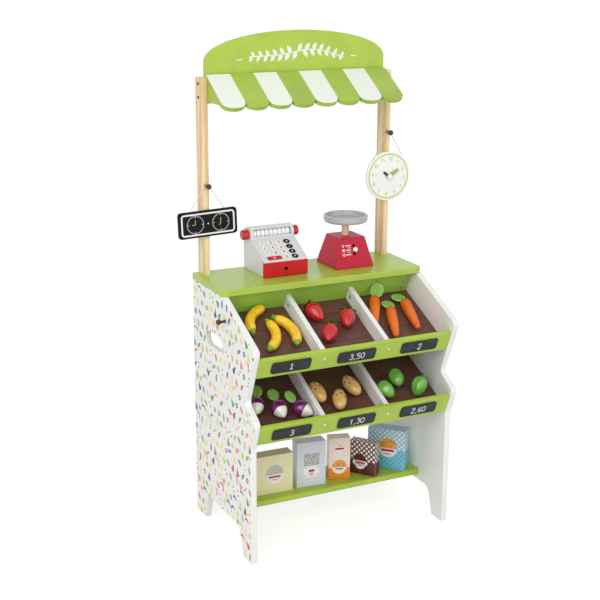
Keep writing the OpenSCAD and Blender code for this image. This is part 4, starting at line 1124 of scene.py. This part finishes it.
# %% [markdown]
# ## Where the produce lies
# Each fruit lies in a bay of a tray: its spot is given across and up the slope, it is turned in the
# tray's plane, and its radius lifts it off the base. Its outline is a sine that a power makes fuller
# at one end, and its rings crowd towards both ends, where a shape curves most.

# %% Where the produce lies
SEAT_GAP = 0.3


def spun(degrees, axis):
    return Matrix.Rotation(math.radians(degrees), 4, axis)


def moved_along(x):
    """A move along a fruit's own axis, in millimetres."""
    return Matrix.Translation(Vector((x, 0, 0)) * MM)


def lying(tray, bay, spot, turn, seat):
    """The CAD's place for a fruit: in its bay, turned in the tray's plane, resting on the base."""
    lift = TRAY_BASE_T + seat + SEAT_GAP
    return in_tray(tray, bay * BAY + spot[0], spot[1], lift) @ spun(turn, "Z")


def bulge(t, power, round_off):
    return math.sin(math.pi * t ** power) ** round_off


def ends_close(n):
    """Places from 0 to 1 that crowd towards both ends."""
    return [0.5 - 0.5 * math.cos(math.pi * i / n) for i in range(n + 1)]


print("bays of", round(BAY, 1), "mm")

# %% [markdown]
# ## Bananas
# A toy banana is a bent rod with five soft ridges that draws in to a thick stem and a blunt tip, both
# painted green. The rod's middle line is an arc with straight ends, and rings follow it.

# %% Bananas
BANANA_R, BANANA_BEND, BANANA_ARC, BANANA_END = 12.0, 70.0, math.radians(62.0), 21.0
BANANA_STEM_R, BANANA_TIP_R = 5.4, 4.6
banana_half = BANANA_BEND * BANANA_ARC / 2 + BANANA_END


def banana_line(s):
    """Point on the middle line, s from -1 to 1, and the direction away from the bend's centre."""
    along = s * banana_half
    bent = max(-BANANA_ARC / 2, min(BANANA_ARC / 2, along / BANANA_BEND))
    out = Vector((math.cos(bent), math.sin(bent), 0))
    ahead = Vector((-math.sin(bent), math.cos(bent), 0))
    centre = Vector((BANANA_BEND, 0, 0))
    return out * BANANA_BEND + ahead * (along - bent * BANANA_BEND) - centre, out


def draws_in(s, start, run, power, least):
    """The radius on the way to an end, which begins to draw in at start."""
    if s >= start + run:
        return least
    return least + (BANANA_R - least) * (1 - max(0.0, (s - start) / run) ** power)


def banana_radius(s):
    stem = draws_in(s, 0.55, 0.36, 1.7, BANANA_STEM_R)
    tip = draws_in(-s, 0.55, 0.42, 2.2, BANANA_TIP_R)
    return min(stem, tip, BANANA_R) * (1.0 if abs(s) < 0.975 else 0.82)


def banana_shape(stations=45, sides=30):
    verts, faces = [], []
    for i in range(stations):
        s = -1 + 2 * i / (stations - 1)
        middle, out = banana_line(s)
        for k in range(sides):
            a = 2 * math.pi * k / sides
            ridge = 1.0 - 0.045 * (0.5 + 0.5 * math.cos(5 * a + math.pi)) * (1 if abs(s) < 0.9 else 0.4)
            around = out * math.cos(a) + Vector((0, 0, 1)) * math.sin(a)
            verts.append(tuple(middle + around * banana_radius(s) * ridge))
    for i in range(stations - 1):
        faces += band(i * sides, (i + 1) * sides, sides)
    faces += [list(range(sides))[::-1], list(range(len(verts) - sides, len(verts)))]
    return verts, faces


print("bananas", round(2 * banana_half), "mm long")

# %% [markdown]
# ## Bananas in their bay
# The green of the tips has to end square across the bent rod. The distance from the middle along y is
# larger on the outer side of the bend, so a share of the way outwards is taken off it. Noise frays
# the edge of the green.

# %% Bananas in their bay
GREEN_FROM, GREEN_FULL, GREEN_FRAY, OUTER_SHARE = 0.0425, 0.0465, 0.008, 0.55
banana_paint, at, shader = finish("banana_paint", coat_weight=0.4, coat_roughness=0.15)
x, y, z = parts(at)
pools = noise(at, 70.0, 3.0)
bend = BANANA_BEND * MM
outwards = ((x + bend) * (x + bend) + y * y).maths("SQRT") - bend
along = abs(y) - outwards * OUTER_SHARE
tips = ramp_between(along + (pools - 0.5) * GREEN_FRAY, GREEN_FROM, GREEN_FULL)
skin = pooled(pools, rgb(246, 186, 18), rgb(255, 214, 46), top=POOL_TOP)
feed(shader, base_color=blend(tips, skin, rgb(126, 164, 50)), roughness=pools * 0.2 + 0.2)
bumped(shader, noise(at, 300.0), 0.1, 0.2)
for i, (spot, turn) in enumerate((((-25, 176), 143), ((9, 104), -20), ((56, 121), 10))):
    place = lying(UPPER_TRAY, -1, spot, turn, BANANA_R)
    piece(f"banana_{i + 1}", banana_shape(), banana_paint, place, "bananas")
print("bananas in their bay:", i + 1)

# %% [markdown]
# ## Strawberries and their leaves
# The strawberries are fat, blunt drops of glossy red with soft ridges along them. Each wears a star of
# dark felt that falls a little from its middle. The star is one thin sheet: its reach depends on the
# angle round the fruit and comes to five points, and a fold runs down the middle of each leaf.

# %% Strawberries
STRAWBERRY_L, STRAWBERRY_R = 60.0, 19.5
LEAF_POINTS, LEAF_REACH, LEAF_FALL = 5, 23.2, 0.35
strawberry_red = lacquer("strawberry_red_lacquer", rgb(206, 18, 30), 0.14, coat=0.7, shine=0.3)
leaf_dark, at, shader = finish("dark_leaf_felt")
fuzz = noise(at, 900.0, 3.0, 0.8)
feed(shader, base_color=blend(fuzz, rgb(34, 66, 24), rgb(84, 128, 52)), roughness=fuzz * 0.2 + 0.62)
bumped(shader, fuzz, 0.5, 0.4)


def strawberry_ridges(x, a):
    return 1.0 - 0.012 * (1.0 + math.cos(7 * a))


def leaf_star(steps=8, sides=90):
    """Two sheets of one star, one felt's thickness apart, joined at their rims."""
    verts, faces = [], []
    for height in (STRAWBERRY_L + 1.0, STRAWBERRY_L + 2.3):
        verts.append((height, 0.0, 0.0))
        for j in range(1, steps + 1):
            for k in range(sides):
                a = math.pi / 2 + 2 * math.pi * k / sides
                off = abs((k * LEAF_POINTS / sides + 0.5) % 1.0 - 0.5) * 2
                reach = LEAF_REACH * (1.0 - 0.62 * off ** 0.8) * j / steps
                fold = 0.5 * (1.0 - off) * (j / steps)
                verts.append((height + fold - LEAF_FALL * reach, reach * math.cos(a), reach * math.sin(a)))
    half, last = 1 + steps * sides, 1 + (steps - 1) * sides
    for base in (0, half):
        faces += [[base, base + 1 + k, base + 1 + (k + 1) % sides] for k in range(sides)]
        for j in range(steps - 1):
            faces += band(base + 1 + j * sides, base + 1 + (j + 1) * sides, sides)
    return verts, faces + band(last, half + last, sides)


strawberry_rings = [(t * STRAWBERRY_L, STRAWBERRY_R * bulge(t, 1.25, 0.5)) for t in ends_close(30)]
strawberry_shape = lathe(strawberry_rings, 56, strawberry_ridges)
for i, (spot, turn) in enumerate((((-29, 127), 104), ((20, 94), 64), ((-49, 55), 58))):
    place = lying(UPPER_TRAY, 0, spot, turn, STRAWBERRY_R)
    piece(f"strawberry_{i + 1}", strawberry_shape, strawberry_red, place, "strawberries")
    piece(f"strawberry_leaf_{i + 1}", leaf_star(), leaf_dark, place, "strawberry_leaves")
print("strawberries", STRAWBERRY_L, "mm long with", LEAF_POINTS, "leaf points")

# %% [markdown]
# ## Carrots
# A carrot tapers to a blunt tip and has fine rings round it. The rings are real, shallow grooves at
# random places, drawn with a seeded generator so that each run gives the same carrots. A round leaf
# of thick green felt is set into the shoulder, with veins that fan from its foot and a paler rim.

# %% The carrot's paint and its felt
carrot_paint, at, shader = finish("carrot_paint", coat_weight=0.25, coat_roughness=0.25)
speckle = noise(at, 520.0, 3.0, 0.7)
pools = noise(at, POOL_SCALE, 3.0)
orange = pooled(pools, rgb(222, 92, 18), rgb(240, 116, 28), top=POOL_TOP)
feed(shader, base_color=blend(ramp_between(speckle, 0.6, 0.72), orange, rgb(168, 60, 12)),
     roughness=pools * 0.2 + 0.3)
bumped(shader, speckle, 0.12, 0.2)
leaf_felt, at, shader = finish("green_leaf_felt")
x, y, z = parts(at)
fuzz = noise(at, 800.0, 3.0, 0.8)
LEAF_FOOT_X, VEIN_REACH, LEAF_RIM = 0.019, 0.0138, 0.0143
far = (x * x + y * y).maths("SQRT")
fan = y.maths("ARCTAN2", x + LEAF_FOOT_X)
veins = ((fan * 21.0).maths("COSINE") > 0.86) + (abs(y) < 0.0007)
green = blend(fuzz, rgb(112, 172, 66), rgb(158, 208, 98))
green = blend(both(veins, far < VEIN_REACH), green, rgb(98, 158, 60))
feed(shader, base_color=blend(far > LEAF_RIM, green, rgb(172, 208, 108)), roughness=fuzz * 0.2 + 0.6)
bumped(shader, fuzz, 0.4, 0.3)
print("felt leaves with a rim beyond", round(LEAF_RIM / MM, 1), "mm")

# %% Carrots and their leaves
CARROT_L, CARROT_R, LEAF_T = 108.0, 13.0, 2.4
CARROT_LEAF_R, CARROT_LEAF_IN = 18.0, 3.0
GROOVES, GROOVE_HALF, GROOVE_DEPTH, FIRST_SEED = 13, 0.006, 0.035, 40


def carrot_swell(t):
    return t ** 0.26 * math.sqrt(max(0.0, 1 - t ** 12))


CARROT_FULL = max(carrot_swell(i / 18) for i in range(18))


def carrot_shape(seed):
    chance = random.Random(seed)
    grooves = [chance.uniform(0.12, 0.9) for _ in range(GROOVES)]
    rings = []
    for t in ends_close(120):
        dip = min(1.0, sum(math.exp(-((t - g) / GROOVE_HALF) ** 2) for g in grooves))
        rings.append((t * CARROT_L, CARROT_R * carrot_swell(t) / CARROT_FULL * (1 - GROOVE_DEPTH * dip)))
    return lathe(rings, 36)


def leaf_disc(radius, squash, sides=48):
    """A round felt leaf with soft edges, thick enough to stand up by itself."""
    verts, faces = [], []
    profile = [(0.55, LEAF_T / 2), (0.94, LEAF_T / 2), (0.985, LEAF_T * 0.32), (1.0, 0.0),
               (0.985, -LEAF_T * 0.32), (0.94, -LEAF_T / 2), (0.55, -LEAF_T / 2)]
    for share, h in profile:
        for k in range(sides):
            a = 2 * math.pi * k / sides
            reach = radius * share * (1 + 0.012 * math.cos(9 * a))
            verts.append((reach * math.cos(a), reach * squash * math.sin(a), h))
    for i in range(len(profile) - 1):
        faces += band(i * sides, (i + 1) * sides, sides)
    faces += [list(range(sides))[::-1], list(range(len(verts) - sides, len(verts)))]
    return verts, faces


for i, (spot, turn, lift, twist) in enumerate((((-70, 93), 64, 54, -14), ((-38, 42), 71, -10, 8),
                                               ((31, 58), 82, -10, 30))):
    place = lying(UPPER_TRAY, 1, spot, turn, CARROT_R)
    piece(f"carrot_{i + 1}", carrot_shape(FIRST_SEED + i), carrot_paint, place, "carrots")
    leaf_place = (place @ moved_along(CARROT_L - CARROT_LEAF_IN) @ spun(twist, "Z") @ spun(-lift, "Y")
                  @ moved_along(CARROT_LEAF_R))
    piece(f"carrot_leaf_{i + 1}", leaf_disc(CARROT_LEAF_R, 0.9), leaf_felt, leaf_place, "carrot_leaves")
print("carrots with", GROOVES, "grooves each")

# %% [markdown]
# ## Turnips
# The turnips are egg-shaped, dipped in purple from the leaf end and left white at the root. The two
# coats meet in a clean line, so the colour changes over less than a millimetre along the axis.

# %% Turnips and their leaves
TURNIP_L, TURNIP_R, TURNIP_LEAF_R, TURNIP_LEAF_IN = 54.0, 19.0, 15.5, 2.0
DIP_START, DIP_END = -0.0066, -0.0058
turnip_paint, at, shader = finish("turnip_paint", coat_weight=0.7, coat_roughness=0.08)
x, y, z = parts(at)
pools = noise(at, POOL_SCALE, 3.0)
purple = pooled(pools, rgb(92, 22, 84), rgb(124, 34, 112), top=POOL_TOP)
dip = ramp_between(x + (pools - 0.5) * 0.002, DIP_START, DIP_END)
feed(shader, base_color=blend(dip, rgb(238, 234, 226), purple), roughness=pools * 0.12 + 0.12)
bumped(shader, noise(at, 300.0), 0.06, 0.2)
turnip_rings = [((t - 0.5) * TURNIP_L, TURNIP_R * bulge(t, 1.25, 0.55)) for t in ends_close(30)]
for i, (spot, turn, lift) in enumerate((((-50, 92), 70, 14), ((-1, 70), 92, 14), ((53, 58), 128, 25))):
    place = lying(LOWER_TRAY, -1, spot, turn, TURNIP_R)
    piece(f"turnip_{i + 1}", lathe(turnip_rings, 48), turnip_paint, place, "turnips")
    leaf_place = place @ spun(-lift, "Y") @ moved_along(TURNIP_L / 2 + TURNIP_LEAF_R - TURNIP_LEAF_IN)
    piece(f"turnip_leaf_{i + 1}", leaf_disc(TURNIP_LEAF_R, 0.92), leaf_felt, leaf_place, "turnip_leaves")
print("turnips", TURNIP_L, "mm long")

# %% [markdown]
# ## Potatoes
# Potatoes are plump ovals in a tan gloss, with round brown dots for eyes on their upper side. Each dot
# is a thin disc that lies on the skin: its frame takes the skin's outward direction at that place.

# %% Potatoes
POTATO_L, POTATO_R, EYE_R, EYE_T, EYE_SUNK = 63.0, 17.5, 2.2, 0.5, 0.4
LUMP_SEED, EYE_SEED = 70, 80
EYES = ((0.5, -38), (0.56, 4), (0.66, 40), (0.78, -14), (0.42, 30), (0.68, -58), (0.84, 38))
potato_paint, at, shader = finish("potato_paint", coat_weight=0.5, coat_roughness=0.14)
pools = noise(at, POOL_SCALE, 3.0)
feed(shader, base_color=pooled(pools, rgb(218, 172, 92), rgb(234, 194, 114), top=POOL_TOP),
     roughness=pools * 0.15 + 0.2)
bumped(shader, noise(at, 300.0), 0.08, 0.2)
eye_brown = ink("potato_eye_paint", rgb(74, 42, 20), 0.3)


def potato_radius(t):
    return POTATO_R * bulge(t, 1.0, 0.42)


def potato_lumps(seed):
    chance = random.Random(seed)
    a1, a2 = chance.uniform(0, 6), chance.uniform(0, 6)

    def lumps(x, a):
        broad, small = 0.5 + 0.5 * math.cos(2 * a + a1), 0.5 + 0.5 * math.cos(3 * a + x * 0.05 + a2)
        return 1 - 0.03 * broad - 0.02 * small
    return lumps


def potato_eyes(lumps, chance):
    """Thin discs on the skin, at places along the potato and turned from its top."""
    shape = ([], [])
    for t, turn in EYES:
        t, a = t + chance.uniform(-0.03, 0.03), math.radians(90 + turn + chance.uniform(-8, 8))
        x = (t - 0.5) * POTATO_L
        wide = potato_radius(t) * lumps(x, a)
        slope = (potato_radius(t + 0.01) - potato_radius(t - 0.01)) / (0.02 * POTATO_L)
        skin = Vector((x, wide * math.cos(a), wide * math.sin(a)))
        out = Vector((-slope, math.cos(a), math.sin(a))).normalized()
        side = Vector((0, -math.sin(a), math.cos(a)))
        dot, start = ([], []), len(shape[0])
        plate(dot, circle(0, 0, EYE_R, 16), EYE_T, base=-EYE_SUNK)
        shape[0].extend(tuple(skin + side * u + out.cross(side) * v + out * w) for u, v, w in dot[0])
        shape[1].extend([start + k for k in face] for face in dot[1])
    return shape


potato_rings = [((t - 0.5) * POTATO_L, potato_radius(t)) for t in ends_close(30)]
for i, (spot, turn) in enumerate((((-53, 104), 94), ((-11, 70), 70), ((39, 107), 102))):
    place, lumps = lying(LOWER_TRAY, 0, spot, turn, POTATO_R), potato_lumps(LUMP_SEED + i)
    piece(f"potato_{i + 1}", lathe(potato_rings, 48, lumps), potato_paint, place, "potatoes")
    eyes = potato_eyes(lumps, random.Random(EYE_SEED + i))
    piece(f"potato_eyes_{i + 1}", eyes, eye_brown, place, "potatoes", smooth=False)
print("potatoes with", len(EYES), "eyes each")

# %% [markdown]
# ## Peppers
# The green peppers are broad at the stem and draw in to a blunt, four-lobed foot. The lobes are a
# swelling round the axis that grows towards the foot, and the shoulder dips in round the stem.

# %% Peppers and their stems
PEPPER_L, PEPPER_R, STEM_DEEP = 50.0, 19.0, 4.0
SHOULDER_DIP, SHOULDER_R = 2.2, 9.0
pepper_green = lacquer("pepper_green_lacquer", rgb(122, 196, 74), 0.14, coat=0.7)
stem_green = lacquer("stem_green_lacquer", rgb(24, 104, 62), 0.3, coat=0.3)


def pepper_radius(t):
    return PEPPER_R * bulge(t, 1.2, 0.4)


def pepper_lobes(x, a):
    foot = 1 - (x + PEPPER_L / 2) / PEPPER_L
    return 1 - (0.05 + 0.07 * foot) * (0.5 - 0.5 * math.cos(4 * a))


def pepper_seat(lean):
    """How far a leaning pepper's lowest ring reaches below its middle."""
    tilt = math.radians(lean)
    return max(pepper_radius(i / 18) * math.cos(tilt) - (i / 18 - 0.5) * PEPPER_L * math.sin(tilt)
               for i in range(1, 18))


def shoulder(x, r):
    """How far the skin dips in near the stem."""
    return SHOULDER_DIP * max(0.0, 1 - r / SHOULDER_R) if x > 0 else 0.0


plain_rings = [(t * PEPPER_L - PEPPER_L / 2, pepper_radius(t)) for t in ends_close(28)]
pepper_rings = [(x - shoulder(x, r), r) for x, r in plain_rings]
stem_rings = [(0, 0), (0, 4.2), (2.5, 3.9), (5, 3.1), (9, 2.7),
              (12, 2.9), (13, 3.0), (13.4, 2.6), (13.4, 0)]
for i, (spot, turn, lean) in enumerate((((-49, 74), 105, 4), ((-4, 107), 82, 4), ((38, 67), 52, 36))):
    place = lying(LOWER_TRAY, 1, spot, turn, pepper_seat(lean)) @ spun(-lean, "Y")
    piece(f"pepper_{i + 1}", lathe(pepper_rings, 48, pepper_lobes), pepper_green, place, "peppers")
    stem_place = place @ moved_along(PEPPER_L / 2 - STEM_DEEP)
    piece(f"pepper_stem_{i + 1}", lathe(stem_rings, 24), stem_green, stem_place, "pepper_stems")
print("peppers", PEPPER_L, "mm long")

# %% [markdown]
# ## Printed cartons
# The five cartons are folded from printed card. Each is a box with slightly rounded folds and a tuck
# flap on top. The print is a repeat that runs round the box, so the pattern is drawn in two flat
# coordinates: `across` goes round the walls and `up` climbs them, and on top they turn into width and
# depth. Where two walls meet, the fold is rubbed pale: the middle one of the three distances to the
# walls is small only near a fold.

# %% The printed card
TOP_SKIN = 0.9


def card(name, size, pattern):
    """A printed card whose colour comes from pattern(across, up, top), all in millimetres."""
    material, at, shader = finish(name)
    x, y, z = (c * 1000.0 for c in parts(at))
    w, d, h = size
    top = z > (h - TOP_SKIN)
    colour = pattern(x + y * (1.0 - top), z + y * top, top)
    walls = [both(c, reach - c) for c, reach in ((x, w), (y, d), (z, h))]
    fold = either(both(walls[0], walls[1]),
                  either(both(walls[1], walls[2]), both(walls[0], walls[2])))
    fibre = noise(at, 420.0, 3.0, 0.7)
    rubbed = ramp_between(fold + fibre * 1.6, 1.5, 0.9) * 0.75
    feed(shader, base_color=blend(rubbed, colour, rgb(240, 236, 228)), roughness=fibre * 0.2 + 0.36)
    bumped(shader, fibre, 0.15, 0.1)
    return material


def repeat(value, pitch):
    """Distance from the middle of the cell, from 0 to half a pitch."""
    return abs((value / pitch).maths("FRACT") - 0.5) * pitch


def dotted(low, high, pitch, dot):
    """Small dots in rows."""
    def pattern(across, up, top):
        u, v = repeat(across, pitch), repeat(up, pitch)
        return blend((u * u + v * v) < dot * dot, low, high)
    return pattern


def lattice(low, high, pitch, line):
    """Two sets of slanting lines."""
    def pattern(across, up, top):
        lines = either(repeat(across + up, pitch) < line, repeat(across - up, pitch) < line)
        return blend(lines, low, high)
    return pattern


def banded(lower, upper, height):
    """One pattern below a height and another above it."""
    def pattern(across, up, top):
        return blend(both(up < height, 1.0 - top), upper(across, up, top), lower(across, up, top))
    return pattern


print("patterns:", [f.__name__ for f in (dotted, lattice, banded)])

# %% [markdown]
# ## The folded box
# A box is one thick plate with a thin tuck flap as a second plate on top, and its folds are beveled
# by less than a millimetre. The pattern counts from the box's lower left corner, so that corner is
# the origin of the mesh. `carton` hands back the frame of the box's front for its labels.

# %% The folded box
CARTON_BASE, CARTON_ROW_Y = 98.3, -45.0
CARD_T, FOLD_R = 0.5, 0.9
FLAP_IN, FLAP_FRONT, BELOW_FLAP = 0.6, 0.4, 0.8


def carton(node, corner, turn, size, material):
    """A box on the shelf; gives back the frame of its front."""
    foot = Vector((corner[0], CARTON_ROW_Y + corner[1], CARTON_BASE))
    place = Matrix.Translation(foot * MM) @ spun(turn, "Z")
    w, d, h = size
    shape = ([], [])
    plate(shape, [(0, 0), (w, 0), (w, d), (0, d)], h - CARD_T)
    flap = [(FLAP_IN, FLAP_FRONT), (w - FLAP_IN, FLAP_FRONT), (w - FLAP_IN, d), (FLAP_IN, d)]
    plate(shape, flap, CARD_T, base=h - CARD_T)
    mesh = mesh_of(node + "_card", shape)
    bm = bmesh.new()
    bm.from_mesh(mesh)
    folds = [e for e in bm.edges if min(v.co.z for v in e.verts) < (h - BELOW_FLAP) * MM]
    bmesh.ops.bevel(bm, geom=folds, offset=FOLD_R * MM, segments=3, profile=0.5, affect="EDGES")
    soften(bm)
    bm.to_mesh(mesh)
    bm.free()
    obj = bpy.data.objects.new(node + "_card", mesh)
    obj.matrix_world = place
    settle(obj, node, material)
    return place @ spun(90, "X")


print("cartons stand at z =", CARTON_BASE, "mm")

# %% [markdown]
# ## Labels on a box
# A label is a flat outline on the box's front, in millimetres from its lower left corner: a strip, a
# dot, half a disc or a tag with a scalloped rim. Red marks lie one label's thickness higher than the
# white tag under them, so that the two never share a surface.

# %% Labels on a box
LABEL_T = 0.12


def scalloped(cx, cy, r, start=180, end=360, bumps=9, steps=54):
    """Part of a disc whose edge is a row of small scallops."""
    made = []
    for k in range(steps + 1):
        a = math.radians(start + (end - start) * k / steps)
        reach = r * (0.93 + 0.07 * abs(math.sin(math.pi * bumps * k / steps)))
        made.append((cx + reach * math.cos(a), cy + reach * math.sin(a)))
    return made


def half_disc(cx, cy, r):
    """The upper half of a picture."""
    return scalloped(cx, cy, r, 0, 180, 1)


def label(node, face, name, material, *shapes, base=0.0):
    """Thin printed shapes on a carton's front."""
    shape = ([], [])
    for outline in shapes:
        plate(shape, outline, LABEL_T, base=base)
    marks(f"{node}_{name}", shape, material, face, body_of_node[node], slot_of_node[node])


def strip(cx, cy, w, h):
    """A bar with round ends."""
    return [(cx + x, cy + y) for x, y in round_box(w, h, h * 0.45, 3)]


def small_dot(cx, cy, r):
    return circle(cx, cy, r, 10)


def red_bars(node, face, *shapes):
    """Red marks on a carton's white tag."""
    label(node, face, "bars", red_ink, *shapes, base=LABEL_T)


print("labels are", LABEL_T, "mm thick")

# %% [markdown]
# ## Cream and grey cartons
# The cream carton has a fine dotted print, whose top is printed a darker olive as painted shade, and a
# round label in two halves: a grainy picture above a white scalloped tag. The grey carton has a grainy
# window over a white card with red marks. The tags carry plain bars and dots.

# %% Cream and grey cartons
grain_print = ink("grain_print", rgb(206, 204, 190), 0.4, 0.62, 620.0)
stone_print = ink("stone_print", rgb(206, 206, 204), 0.4, 0.3, 300.0)
# painted shade: the top face gets darker olive colours than the walls, standing for the shade on it
cream_lid_painted_shade = dotted(rgb(190, 180, 118), rgb(168, 158, 98), 3.2, 0.8)
cream_wall = dotted(rgb(246, 238, 194), rgb(222, 212, 150), 3.2, 0.9)


def cream_dots(across, up, top):
    return blend(top, cream_wall(across, up, top), cream_lid_painted_shade(across, up, top))


cream_size = (103.0, 33.0, 100.0)
cream_card = card("cream_card", cream_size, cream_dots)
face = carton("cream_carton", (-197.0, 27.0), -2.0, cream_size, cream_card)
label("cream_carton", face, "grain", grain_print, half_disc(55, 50, 24.5))
label("cream_carton", face, "tag", white_ink, scalloped(55, 51, 25))
red_bars("cream_carton", face, strip(55, 43.5, 32, 4.6), strip(55, 36, 13, 1.7),
         small_dot(43, 37, 1.3), small_dot(67, 37, 1.3))
grey_size = (75.0, 34.0, 116.0)
grey_card = card("grey_card", grey_size, lattice(rgb(240, 242, 247), rgb(198, 204, 216), 5.0, 0.8))
face = carton("grey_carton", (-81.0, 28.0), -6.0, grey_size, grey_card)
label("grey_carton", face, "window", stone_print, [(18, 54), (58, 54), (58, 87), (18, 87)])
label("grey_carton", face, "tag", white_ink, [(18, 24), (58, 24), (58, 54), (18, 54)])
red_bars("grey_carton", face, strip(38, 41, 15, 6), strip(38, 34, 10, 2.2), strip(38, 29, 11, 1.4),
         *(small_dot(x, y, 1.4) for y in (50, 28) for x in (22, 54)))
print("cream and grey cartons are", cream_size[2], "and", grey_size[2], "mm tall")

# %% [markdown]
# ## Pink, brown and blue cartons
# The pink carton is orange below, the brown one has white diamonds between brown bars and a dark
# foot, and the blue one is a pale lattice over a darker foot. Two of them carry a round golden
# picture above a white tag.

# %% Pink, brown and blue cartons
golden_print = ink("golden_print", rgb(248, 172, 60), 0.35, 0.5, 170.0)
cocoa_print = ink("cocoa_print", rgb(72, 24, 20), 0.35, 0.7, 300.0)
pink_size = (54.0, 30.0, 108.0)
pink_card = card("pink_card", pink_size, banded(
    lower=dotted(rgb(250, 144, 48), rgb(238, 126, 36), 3.0, 0.8),
    upper=dotted(rgb(252, 240, 228), rgb(236, 204, 188), 3.0, 0.9), height=30.0))
face = carton("pink_carton", (13.0, 41.0), -16.0, pink_size, pink_card)
label("pink_carton", face, "picture", golden_print, half_disc(27, 31, 19.5))
label("pink_carton", face, "tag", white_ink, scalloped(27, 32, 19), scalloped(27, 79, 11, 180, 360, 1))
red_bars("pink_carton", face, strip(27, 26.5, 20, 3.2), strip(27, 80, 22, 4.4),
         small_dot(27, 89, 1.3))
brown_size = (70.0, 24.0, 88.0)
brown_card = card("brown_card", brown_size, banded(
    lower=lattice(rgb(66, 22, 20), rgb(120, 56, 46), 13.0, 1.2),
    upper=lattice(rgb(252, 246, 240), rgb(84, 28, 24), 13.0, 2.4), height=36.0))
face = carton("brown_carton", (81.0, 58.0), -52.0, brown_size, brown_card)
label("brown_carton", face, "dome", cocoa_print, half_disc(28.5, 36, 18.5))
label("brown_carton", face, "tag", white_ink, strip(28.5, 31, 40, 13), scalloped(28.5, 29, 15, bumps=5))
red_bars("brown_carton", face, strip(28.5, 31.5, 27, 4.4), strip(28.5, 23, 10, 1.5))
blue_size = (98.0, 36.0, 106.0)
blue_card = card("blue_card", blue_size, banded(
    lower=lattice(rgb(92, 178, 212), rgb(146, 210, 228), 12.8, 1.3),
    upper=lattice(rgb(232, 244, 248), rgb(138, 194, 214), 12.8, 2.1), height=54.0))
face = carton("blue_carton", (142.0, 75.0), -48.0, blue_size, blue_card)
label("blue_carton", face, "picture", golden_print, half_disc(53, 56, 26))
label("blue_carton", face, "tag", white_ink, scalloped(53, 57, 26))
red_bars("blue_carton", face, strip(53, 50, 34, 5.6), strip(53, 40.5, 14, 2.0))

# %% [markdown]
# ## The end
